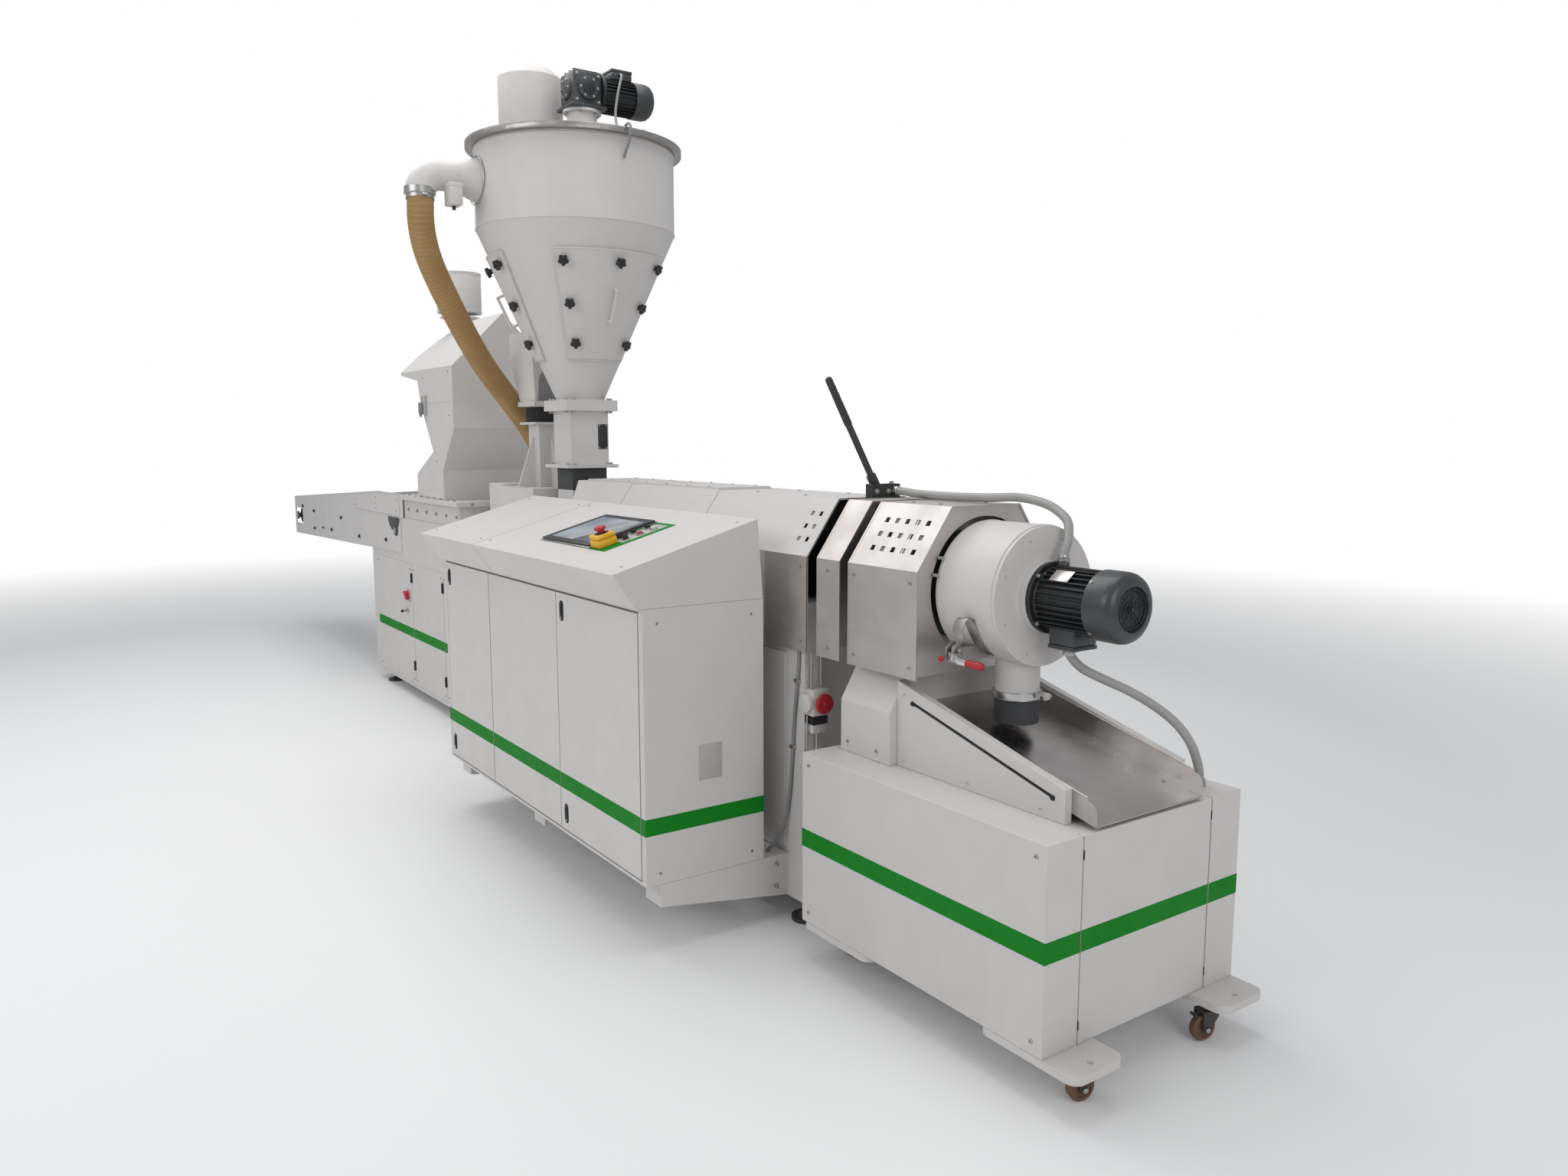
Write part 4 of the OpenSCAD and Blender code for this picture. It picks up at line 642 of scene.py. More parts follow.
def clamp(bm, at, axis, radius, width=0.016, slot=0):
    """Worm drive clamp round a hose end."""
    inner, outer = radius, radius + 0.0022
    lathe(bm, [(inner, 0), (outer, 0), (outer, width), (inner, width), (inner, 0)], at, axis, 48, slot)
    along = Vector(axis).normalized()
    out = along.cross(Y).normalized()
    mid = Vector(at) + along * width / 2
    worm = along.cross(out)
    rod(bm, mid + out * (outer + 0.004) - worm * 0.015, mid + out * (outer + 0.004) + worm * 0.013, 0.0065,
        sides=12, bevel=0.001, slot=slot)


class PELLETIZER_OT_hose(bpy.types.Operator):
    """Tan suction hose in spiral folds, with painted shade in the folds' valleys, from the bowl's elbow to the drive
    cover
    """

    bl_idname = "pelletizer.hose"
    bl_label = "Suction hose"

    def execute(self, context):
        v = values().hose
        steps, sides = 6, 28
        path = smooth_path(HOSE, v.pitch / steps)

        def fold(i, k):
            turn = math.cos(math.tau * (i / steps - k / sides))
            return HOSE_R - v.depth * (0.5 - 0.5 * turn) ** 2

        bm = bmesh.new()
        sweep(bm, path, fold, sides, lambda i: 0)
        for face in bm.faces:
            centre = face.calc_center_median()
            near = min(range(0, len(path), 3), key=lambda i: (path[i] - centre).length_squared)
            reach = min((path[i] - centre).length for i in range(max(0, near - 3), min(len(path), near + 4)))
            # Faces deep in the folds take the darker finish: painted shade in the creases.
            face.material_index = 1 if reach < HOSE_R - 0.55 * v.depth and len(face.verts) == 4 else 0
        hose = finished("suction_hose_folds", bm, ["hose_tan", "hose_fold"], angle=60)
        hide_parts("suction_hose")
        bm = bmesh.new()
        clamp(bm, path[2], path[3] - path[2], HOSE_R + 0.0008)
        clamp(bm, path[-8], path[-9] - path[-8], HOSE_R + 0.0008)
        finished("hose_clamps", bm, ["zinc"])
        return {"FINISHED"}


class PELLETIZER_OT_conduits(bpy.types.Operator):
    """Crinkled conduits over the drum and down behind the tray, with their glands"""

    bl_idname = "pelletizer.conduits"
    bl_label = "Conduits"

    def execute(self, context):
        v = values().hose
        for name, route, lay in (("upper", CONDUIT_UPPER, "loose"), ("lower", CONDUIT_LOWER, "hanging")):
            path = smooth_path(route, v.crinkle / 4)
            bm = bmesh.new()
            sweep(bm, path, lambda i, k: CONDUIT_R - 0.0011 * (0.5 - 0.5 * math.cos(math.tau * i / 4)), 16)
            conduit = finished(f"conduit_{name}", bm, ["conduit_steel"], angle=80)
            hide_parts(f"motor_conduit_{name}")
            bm = bmesh.new()
            for end, inner in ((path[0], path[8]), (path[-1], path[-9])):
                axis = (inner - end).normalized()
                rod(bm, end + axis * 0.0005, end + axis * 0.011, 0.0185, sides=6, bevel=0.001)
                rod(bm, end + axis * 0.011, end + axis * 0.022, 0.0168, 0.0150, sides=24, bevel=0.001)
            finished(f"conduit_{name}_glands", bm, ["zinc"])
        for name, route, lay in (("agitator_cable", AGITATOR_CABLE, "loose"), ("post_cable", POST_CABLE, "hanging")):
            path = smooth_path(route, 0.008)
            bm = bmesh.new()
            sweep(bm, path, lambda i, k: CABLE_R, 14)
            cable = finished(name, bm, ["cable_grey"], angle=80)
        return {"FINISHED"}


# SHARED SHAPES

BAND = 0.0006


def span(node):
    """Lowest and highest corner of a frame node, along the line."""
    low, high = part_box(node)
    return low - LINE, high - LINE


def strip(bm, outer, inner):
    """Outline of a strip bent along a path: the outer points, then the inner ones back."""
    return outer + inner[::-1]


def oval(length, width, steps=8):
    """Upright outline with round ends."""
    r, lift = width / 2, length / 2 - width / 2
    top = [(r * math.cos(math.pi * k / steps), lift + r * math.sin(math.pi * k / steps)) for k in range(steps + 1)]
    return top + [(-x, -z) for x, z in top]


def shifted(outline, dx, dz):
    return [(x + dx, z + dz) for x, z in outline]


# TROLLEY, CHUTE AND CUTTER


class PELLETIZER_OT_trolley(bpy.types.Operator):
    """Green band, corner screws and small black fittings at the end panel of the chute trolley"""

    bl_idname = "pelletizer.trolley"
    bl_label = "Trolley"

    def execute(self, context):
        low, high = span("trolley_body")
        panel = span("trolley_end_panel")[1].y
        z0, z1 = 0.375, 0.432
        bm = bmesh.new()
        for s in SIDES:
            edge = s * high.y
            box(bm, (low.x, min(edge, edge + s * BAND), z0), (high.x, max(edge, edge + s * BAND), z1))
            inner, outer = s * (panel + 0.0044), edge + s * BAND
            box(bm, (high.x, min(inner, outer), z0), (high.x + BAND, max(inner, outer), z1))
        box(bm, (high.x, -panel, z0), (high.x + BAND, panel, z1))
        finished("trolley_band", bm, ["green_band"])
        bm = bmesh.new()
        inset = 0.036
        for s in SIDES:
            for x in (low.x + inset, high.x - inset):
                for z in (low.z + inset, high.z - inset):
                    screw(bm, (x, s * high.y, z), (0, s, 0))
            for z in (low.z + 0.05, high.z - 0.05):
                box(bm, (high.x - 0.001, s * (panel + 0.0005) - 0.0015, z - 0.012),
                    (high.x + 0.0012, s * (panel + 0.0005) + 0.0015, z + 0.012), slot=1)
        for x in (-0.93, -0.79):
            screw(bm, (x, -0.2743, 0.712), (0, -1, 0))
            screw(bm, (x, 0.2743, 0.712), (0, 1, 0))
        finished("trolley_screws", bm, ["zinc", "black_metal"])
        return {"FINISHED"}


class PELLETIZER_OT_casters(bpy.types.Operator):
    """Axle nuts, hub caps and brake pedals of the casters"""

    bl_idname = "pelletizer.casters"
    bl_label = "Casters"

    def execute(self, context):
        for joint in frame["joints"]:
            if not joint["name"].startswith("roll_"):
                continue
            where = joint["name"].removeprefix("roll_")
            centre, axis = Vector(joint["pos_m"]) - LINE, Vector(joint["axis"]).normalized()
            bm = bmesh.new()
            for s in SIDES:
                rod(bm, centre + axis * s * 0.0212, centre + axis * s * 0.0275, 0.0078, sides=6, bevel=0.0006)
            ahead = Z.cross(axis).normalized()
            back = centre - ahead * 0.0
            pedal = centre + Z * 0.040 + ahead * 0.030
            rod(bm, pedal - axis * 0.012, pedal + axis * 0.012, 0.0045, sides=12, slot=1)
            rod(bm, back + Z * 0.0475, pedal, 0.003, sides=10, slot=1)
            finished(f"caster_nuts_{where}", bm, ["zinc", "black_metal"], joint["parent"])
            bm = bmesh.new()
            for s in SIDES:
                rod(bm, centre + axis * s * 0.0117, centre + axis * s * 0.0128, 0.0100, sides=24)
            finished(f"caster_hub_{where}", bm, ["zinc"], joint["child"])
        return {"FINISHED"}


TRAY_TAN = math.tan(math.radians(13))
TRAY_BACK = -0.7317


class PELLETIZER_OT_chute(bpy.types.Operator):
    """Rolled edges of the tray and the black slots with their bolts in the cheeks"""

    bl_idname = "pelletizer.chute"
    bl_label = "Chute"

    def execute(self, context):
        def top(x):
            return 0.751 + (-0.002 - x) * TRAY_TAN

        bm = bmesh.new()
        for s in SIDES:
            y = s * 0.2165
            rod(bm, (TRAY_BACK, y, top(TRAY_BACK)), (-0.032, y, top(-0.032)), 0.0026, sides=12)
        rod(bm, (-0.0025, -0.216, 0.6885), (-0.0025, 0.216, 0.6885), 0.0024, sides=12)
        for x in (-0.60, -0.34, -0.10):
            for s in SIDES:
                screw(bm, (x, s * 0.18, 0.69 + (-0.002 - x) * TRAY_TAN), (TRAY_TAN, 0, 1), 0.009)
        finished("tray_edges", bm, ["tray_sheet", "black_metal"])
        bm = bmesh.new()
        lean = math.atan(168 / 652)
        for s in SIDES:
            foot = Vector((-0.115, s * 0.2443, 0.738))
            back = Vector((-math.cos(lean), 0, math.sin(lean)))
            grid = Matrix.Translation(foot) @ Matrix.Rotation(lean, 4, "Y")
            y = sorted((-s * 0.0075, -s * 0.0045))
            box(bm, (-0.571, y[0], -0.0048), (-0.001, y[1], 0.0048), slot=1, at=grid)
            for reach in (0.006, 0.565):
                bolt(bm, foot + back * reach - Vector((0, s * 0.0045, 0)), (0, s, 0), 0.013, slot=1)
            for x, z in ((-0.70, 0.70), (-0.70, 0.90), (-0.16, 0.70), (-0.43, 0.70)):
                screw(bm, (x, s * 0.2443, z), (0, s, 0), 0.010)
        finished("cheek_slots", bm, ["white_paint", "black_rubber"])
        return {"FINISHED"}


SPOUT_X = -0.48284


class PELLETIZER_OT_cutter(bpy.types.Operator):
    """Beads, latch pins, spout band and clamp screw of the cutter drum"""

    bl_idname = "pelletizer.cutter"
    bl_label = "Cutter drum"

    def execute(self, context):
        bm = bmesh.new()
        ring(bm, (-0.606, 0, AXIS_H), X, 0.2025, 0.0022, 96)
        ring(bm, (-0.4015, 0, AXIS_H), X, 0.2018, 0.0014, 96)
        ring(bm, (-0.3675, 0, AXIS_H), X, 0.0985, 0.0022, 72)
        ring(bm, (SPOUT_X, 0, 0.921), Z, 0.0645, 0.0018, 48)
        finished("drum_beads", bm, ["white_paint"], angle=60)
        bm = bmesh.new()
        for turn in (152, 166, 22, 340):
            a = math.radians(turn)
            spot = Vector((-0.622, 0.214 * math.cos(a), AXIS_H + 0.214 * math.sin(a)))
            rod(bm, spot, spot + X * 0.016, 0.0055, sides=16, bevel=0.001)
            rod(bm, spot + X * 0.010, spot + X * 0.018, 0.0035, sides=12)
        lug = Vector((SPOUT_X + 0.0885, 0.025, 0.915))
        rod(bm, lug - Y * 0.019, lug + Y * 0.022, 0.0038, sides=12)
        for s in SIDES:
            rod(bm, lug + Y * s * 0.013, lug + Y * s * 0.019, 0.0068, sides=6, bevel=0.0005)
        ring(bm, (SPOUT_X, 0, 0.9045), Z, 0.0702, 0.0012, 48)
        ring(bm, (SPOUT_X, 0, 0.9255), Z, 0.0702, 0.0012, 48)
        for k in range(8):
            a = math.tau * (k + 0.5) / 8
            spot = (-0.3880, 0.172 * math.cos(a), AXIS_H + 0.172 * math.sin(a))
            screw(bm, spot, X, 0.009, slot=1, socket=2)
        finished("drum_pins", bm, ["zinc", "white_paint", "black_metal"])
        bm = bmesh.new()
        for z in (0.838, 0.846, 0.893):
            ring(bm, (SPOUT_X, 0, z), Z, 0.0645, 0.0010, 48)
        finished("outlet_ribs", bm, ["dark_rubber"])
        return {"FINISHED"}


MOTOR_X0, MOTOR_FINS_X1, MOTOR_END = -0.368, -0.178, -0.082


class PELLETIZER_OT_motor(bpy.types.Operator):
    """Cutter motor: flange, tapered fins, smooth fan cover with a ringed grille, box and glands"""

    bl_idname = "pelletizer.motor"
    bl_label = "Cutter motor"

    def execute(self, context):
        v = values().motor
        x0, x1, x2 = MOTOR_X0, MOTOR_FINS_X1, MOTOR_END
        hub = Vector((0, 0, AXIS_H))
        bm = bmesh.new()
        flange = [(0, 0), (0.100, 0), (0.101, 0.001), (0.101, 0.012), (0.099, 0.014), (0.086, 0.014),
                  (0.083, 0.020), (0.080, 0.020), (0.080, x1 - x0 + 0.004), (0, x1 - x0 + 0.004), (0, 0)]
        lathe(bm, flange, hub + X * x0, X, 72, slot=1)
        for k in range(v.fins):
            turn = Matrix.Translation(hub) @ Matrix.Rotation(math.tau * (k + 0.5) / v.fins, 4, "X")
            tip = 0.0925
            outline = [(x0 + 0.016, 0.078), (x0 + 0.026, tip), (x1 - 0.001, tip), (x1 - 0.001, 0.078)]
            plate(bm, outline, -0.0017, 0.0017, "y", 0.0007, slot=1, at=turn)
        cover = [(0.078, 0), (0.0950, 0), (0.0968, 0.0020), (0.0968, 0.0620), (0.0950, 0.0740), (0.0900, 0.0840),
                 (0.0800, 0.0915), (0.0690, 0.0950), (0.0640, 0.0955), (0.0612, 0.0940), (0.0605, 0.0900),
                 (0.0605, 0.0790), (0, 0.0790), (0, 0.0700), (0.078, 0.0700), (0.078, 0)]
        lathe(bm, cover, hub + X * x1, X, 96, slot=0)
        for k in range(v.rings):
            ring(bm, hub + X * (x2 - 0.0065), X, 0.013 + k * 0.0135, 0.0016, 48, slot=1)
        rod(bm, hub + X * (x2 - 0.010), hub + X * (x2 - 0.004), 0.008, sides=24, bevel=0.001, slot=1)
        for k in range(8):
            turn = Matrix.Translation(hub) @ Matrix.Rotation(math.tau * k / 8, 4, "X")
            box(bm, (x2 - 0.0090, -0.0013, 0.006), (x2 - 0.0068, 0.0013, 0.0604), slot=1, at=turn)
        for k in range(4):
            a = math.tau * (k + 0.5) / 4
            out = Vector((0, math.cos(a), math.sin(a)))
            screw(bm, hub + X * (x1 + 0.010) + out * 0.0966, out, 0.010, slot=2, socket=1)
            bolt(bm, hub + X * (x0 + 0.014) + out * 0.0925, X, 0.012, slot=2)
        base = AXIS_H - 0.094 - 0.038
        box(bm, (x0 + 0.040, -0.046, base + 0.012), (x0 + 0.130, 0.046, AXIS_H - 0.074), 0.003, slot=0)
        box(bm, (x0 + 0.038, -0.048, base), (x0 + 0.132, 0.048, base + 0.0115), 0.0025, slot=0)
        for dx, dy in ((0.046, -0.040), (0.046, 0.040), (0.124, -0.040), (0.124, 0.040)):
            screw(bm, (x0 + dx, dy, base), -Z, 0.007, slot=2, socket=1)
        rod(bm, (-0.345, 0.024, AXIS_H + 0.070), (-0.345, 0.024, 1.3095), 0.0178, sides=28, bevel=0.001, slot=0)
        turn = Matrix.Translation(hub) @ Matrix.Rotation(math.radians(38), 4, "X")
        box(bm, (x0 + 0.058, -0.021, 0.0905), (x0 + 0.122, 0.021, 0.0938), 0.0008, slot=3, at=turn)
        for dx in (0.062, 0.118):
            rod(bm, (x0 + dx, 0, 0.0935), (x0 + dx, 0, 0.0946), 0.0016, sides=10, slot=2, at=turn)
        motor = finished("cutter_motor_cast", bm, ["motor_grey", "fin_black", "zinc", "tray_sheet"], angle=32)
        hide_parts("cutter_motor")
        return {"FINISHED"}


PIVOT = Vector((-0.520, -0.215, 1.036))


class PELLETIZER_OT_toggle(bpy.types.Operator):
    """Toggle clamp under the drum: saddle, links, arm, red grip and red adjusting knob"""

    bl_idname = "pelletizer.toggle"
    bl_label = "Toggle clamp"

    def execute(self, context):
        bm = bmesh.new()
        turns = [math.radians(a) for a in range(196, 237, 4)]
        outer = [(0.2058 * math.cos(a), AXIS_H + 0.2058 * math.sin(a)) for a in turns]
        inner = [(0.2030 * math.cos(a), AXIS_H + 0.2030 * math.sin(a)) for a in turns]
        plate(bm, strip(bm, outer, inner), -0.505, -0.466, "x", 0.0006)
        lip = [(-0.199, 1.150), (-0.218, 1.156), (-0.232, 1.148), (-0.240, 1.128), (-0.238, 1.098)]
        back = [(y + 0.0028, z - 0.0012) for y, z in lip]
        plate(bm, strip(bm, lip, back), -0.505, -0.466, "x", 0.0006)
        for x in (-0.548, -0.524):
            plate(bm, [(-0.224, 1.026), (-0.190, 1.024), (-0.176, 1.070), (-0.200, 1.082), (-0.226, 1.062)],
                  x, x + 0.0035, "x", 0.0006)
        for dx, dz in ((-0.034, 0.020), (-0.012, 0.026), (0.010, 0.020)):
            bolt(bm, PIVOT + Vector((dx, 0.0115, dz)), (0, -1, 0), 0.013, slot=1)
        rod(bm, PIVOT + Vector((-0.030, 0.010, -0.004)), PIVOT + Vector((-0.030, -0.020, -0.004)), 0.0042, sides=14)
        ball(bm, PIVOT + Vector((-0.030, -0.026, -0.004)), 0.0085, slot=2)
        finished("toggle_links", bm, ["brushed_sheet", "zinc", "grip_red"], angle=40)
        bm = bmesh.new()
        y = PIVOT.y - 0.0063
        outline = [(-0.014, 0.006), (-0.010, 0.013), (0.004, 0.013), (0.030, 0.004), (0.062, 0.002),
                   (0.062, -0.013), (0.026, -0.015), (-0.002, -0.012), (-0.013, -0.004)]
        plate(bm, shifted(outline, PIVOT.x, PIVOT.z), y - 0.005, y, "y", 0.0012)
        rod(bm, (PIVOT.x, PIVOT.y + 0.012, PIVOT.z), (PIVOT.x, y - 0.007, PIVOT.z), 0.0039, sides=20, bevel=0.0006)
        rod(bm, (PIVOT.x, y - 0.005, PIVOT.z), (PIVOT.x, y - 0.0085, PIVOT.z), 0.0075, sides=6, bevel=0.0006)
        arm = finished("toggle_arm", bm, ["chrome"], "toggle_handle")
        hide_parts("toggle_handle")
        bm = bmesh.new()
        grip = [(0, 0), (0.0090, 0), (0.0105, 0.004), (0.0100, 0.016), (0.0112, 0.034), (0.0118, 0.050),
                (0.0105, 0.060), (0.0070, 0.0645), (0, 0.066)]
        lathe(bm, grip, (PIVOT.x + 0.056, y - 0.0025, PIVOT.z - 0.006), X, 40)
        finished("toggle_grip", bm, ["grip_red"], "toggle_handle", angle=60)
        return {"FINISHED"}


# GUARDS

GUARD_HALF, GUARD_TOP_HALF = 0.270, 0.140
FOLD_Z, GUARD_Z, SKIRT_Z = 1.273, 1.455, 0.956
DIE_X0, DIE_X1, MID_X0, MID_X1, HOOD_X0, HOOD_X1 = -0.941, -0.622, -1.102, -0.983, -3.166, -1.156
VENT_PITCH, VENT_ROW = 0.046, 0.050


def guard_path(grow):
    """The folded outline of the guards, grown outwards."""
    h, t = GUARD_HALF + grow, GUARD_TOP_HALF + grow * 0.6
    return [(-h, SKIRT_Z), (-h, FOLD_Z), (-t, GUARD_Z + grow), (t, GUARD_Z + grow), (h, FOLD_Z), (h, SKIRT_Z)]


class PELLETIZER_OT_guards(bpy.types.Operator):
    """Hems, screws and the pads behind every other vent hole"""

    bl_idname = "pelletizer.guards"
    bl_label = "Guards"

    def execute(self, context):
        bm = bmesh.new()
        for x, slot in ((DIE_X0, 0), (DIE_X1 - 0.007, 0), (MID_X0, 0), (MID_X1 - 0.007, 0), (HOOD_X1 - 0.007, 1)):
            plate(bm, strip(bm, guard_path(0.0009), guard_path(-0.002)), x, x + 0.007, "x", slot=slot)
        for x in (-1.90, -2.62):
            plate(bm, strip(bm, guard_path(0.0005), guard_path(-0.002)), x, x + 0.0016, "x", slot=2)
        finished("guard_hems", bm, ["guard_sheet", "white_paint", "black_metal"])
        bm = bmesh.new()
        slant = math.atan((GUARD_Z - FOLD_Z) / (GUARD_HALF - GUARD_TOP_HALF))
        middle = Vector((0, (GUARD_HALF + GUARD_TOP_HALF) / 2, (FOLD_Z + GUARD_Z) / 2))
        for start, columns in ((DIE_X1 - 0.060, 5), (HOOD_X1 - 0.050, 2)):
            for s in SIDES:
                face = Matrix.Translation((start, s * middle.y, middle.z)) @ Matrix.Rotation(-s * slant, 4, "X")
                for i in range(columns):
                    for j in (-1, 0, 1):
                        if (i + j) % 2 == 0:
                            box(bm, (-i * VENT_PITCH - 0.0086, j * VENT_ROW - 0.0086, -0.0055),
                                (-i * VENT_PITCH + 0.0086, j * VENT_ROW + 0.0086, -0.0040), at=face)
        finished("vent_pads", bm, ["cable_grey"])
        bm = bmesh.new()
        for s in SIDES:
            for x in (DIE_X0 + 0.03, DIE_X1 - 0.03, MID_X0 + 0.06, HOOD_X1 - 0.03, -1.87, -1.93, -2.59, -2.65):
                for z in (SKIRT_Z + 0.035, FOLD_Z - 0.035):
                    screw(bm, (x, s * GUARD_HALF, z), (0, s, 0))
        for x in (DIE_X1 - 0.10, DIE_X1 - 0.22, HOOD_X1 - 0.25, HOOD_X1 - 0.55):
            for y in (-0.095, 0.095):
                screw(bm, (x, y, GUARD_Z), Z)
        for k in range(7):
            for s in SIDES:
                screw(bm, (-3.06 + k * 0.172, s * 0.108, GUARD_Z + 0.008), Z, 0.010)
        finished("guard_screws", bm, ["zinc", "black_metal"])
        return {"FINISHED"}


class PELLETIZER_OT_lever(bpy.types.Operator):
    """Collar, rounded tip and block bolts of the screen changer's lever"""

    bl_idname = "pelletizer.lever"
    bl_label = "Lever"

    def execute(self, context):
        x = (HOOD_X1 + MID_X0) / 2
        foot = Vector((x, 0, GUARD_Z + 0.024))
        reach = Vector((0, -math.sin(math.radians(30)), math.cos(math.radians(30))))
        bm = bmesh.new()
        rod(bm, foot + reach * 0.020, foot + reach * 0.060, 0.0165, sides=28, bevel=0.0015)
        rod(bm, foot + reach * 0.250, foot + reach * 0.4095, 0.0128, 0.0118, sides=24, slot=1)
        ball(bm, foot + reach * 0.4095, 0.0118, slot=1)
        for k in range(5):
            ring(bm, foot + reach * (0.262 + 0.030 * k), reach, 0.0124, 0.0010, 24, slot=1)
        for y in (-0.024, 0.060):
            bolt(bm, (x, y, GUARD_Z + 0.046), Z, 0.013, slot=2)
        for y in (-0.020, 0.030):
            bolt(bm, (x + 0.018, y, GUARD_Z + 0.022), X, 0.013, slot=2)
        finished("lever_fittings", bm, ["lever_grey", "lever_grey", "zinc"])
        return {"FINISHED"}


# CABINET

CAB_X0, CAB_X1, CAB_Y, CAB_BACK = -3.152, -1.290, -0.800, -0.350
DOORS = (("left", -3.124, -2.616, -3.089), ("middle", -2.610, -1.947, None), ("right", -1.941, -1.324, -1.896))
CONSOLE_FRONT, CONSOLE_TIP = -0.900, 1.242
SLOPE = math.atan(149 / 530)
BAND_LOW, BAND_HIGH = 0.399, 0.455


class PELLETIZER_OT_cabinet(bpy.types.Operator):
    """Green band, oval latches, bare plate and screws of the control cabinet"""

    bl_idname = "pelletizer.cabinet"
    bl_label = "Cabinet"

    def execute(self, context):
        for name, x0, x1, latch_x in DOORS:
            body = f"cabinet_door_{name}"
            bm = bmesh.new()
            box(bm, (x0, CAB_Y - BAND, BAND_LOW), (x1, CAB_Y, BAND_HIGH))
            finished(f"door_band_{name}", bm, ["green_band"], body)
            if latch_x is None:
                continue
            bm = bmesh.new()
            for z in (0.309, 1.049):
                rim = shifted(oval(0.074, 0.032), latch_x, z)
                hole = shifted(oval(0.066, 0.024), latch_x, z)
                plate(bm, rim, CAB_Y - 0.0016, CAB_Y - 0.0002, "y", 0.0005)
                plate(bm, hole, CAB_Y - 0.0030, CAB_Y - 0.0016, "y", 0.0008, slot=1)
                plate(bm, shifted(oval(0.044, 0.012), latch_x + 0.001, z + 0.004), CAB_Y - 0.0062, CAB_Y - 0.0030,
                      "y", 0.0012)
                rod(bm, (latch_x, CAB_Y - 0.0030, z - 0.025), (latch_x, CAB_Y - 0.0046, z - 0.025), 0.0045,
                    sides=20, bevel=0.0005, slot=2)
            finished(f"door_latches_{name}", bm, ["black_plastic", "black_metal", "zinc"], body)
        bm = bmesh.new()
        post_gap = 0.0062
        box(bm, (CAB_X0, CAB_Y - BAND, BAND_LOW), (DOORS[0][1] - post_gap, CAB_Y, BAND_HIGH))
        box(bm, (DOORS[2][2] + post_gap, CAB_Y - BAND, BAND_LOW), (CAB_X1 + BAND, CAB_Y, BAND_HIGH))
        box(bm, (CAB_X1, CAB_Y, BAND_LOW), (CAB_X1 + BAND, CAB_BACK, BAND_HIGH))
        box(bm, (CAB_X0 - BAND, CAB_Y, BAND_LOW), (CAB_X0, CAB_BACK, BAND_HIGH))
        finished("cabinet_band", bm, ["green_band"])
        bm = bmesh.new()
        box(bm, (CAB_X1, -0.603, 0.550), (CAB_X1 + 0.0012, -0.515, 0.668), 0.0004)
        for y in (-0.597, -0.521):
            for z in (0.556, 0.662):
                rod(bm, (CAB_X1 + 0.001, y, z), (CAB_X1 + 0.0024, y, z), 0.0022, sides=14, bevel=0.0004)
        for z in (0.575, 0.595, 0.615, 0.635):
            box(bm, (CAB_X1 + 0.001, -0.592, z), (CAB_X1 + 0.0015, -0.526, z + 0.0012))
        finished("cabinet_plate", bm, ["grey_paint"])
        bm = bmesh.new()
        for y in (CAB_Y + 0.05, CAB_BACK - 0.05):
            for z in (0.27, 1.08):
                for x, out in ((CAB_X1, 1), (CAB_X0, -1)):
                    screw(bm, (x, y, z), (out, 0, 0), 0.010)
        for x in (-3.05, -2.45, -1.85, -1.39):
            for z in (0.28, 1.08):
                screw(bm, (x, CAB_BACK, z), Y, 0.010)
        for x in (-3.10, -2.70, -2.30, -1.80, -1.34):
            screw(bm, (x, CAB_BACK - 0.008, 1.30), Y, 0.010)
        finished("cabinet_screws", bm, ["zinc", "black_metal"])
        return {"FINISHED"}


PANEL_X, PANEL_UP = -2.132, 0.143
PANEL_W, PANEL_D = 0.390, 0.272


def on_slope(x, up=0.0):
    """Frame of the console's slope: x along the line, y up the slope, z out of it."""
    return Matrix.Translation((x, CONSOLE_FRONT, CONSOLE_TIP)) @ Matrix.Rotation(SLOPE, 4, "X") @ Matrix.Translation(
        (0, up, 0))


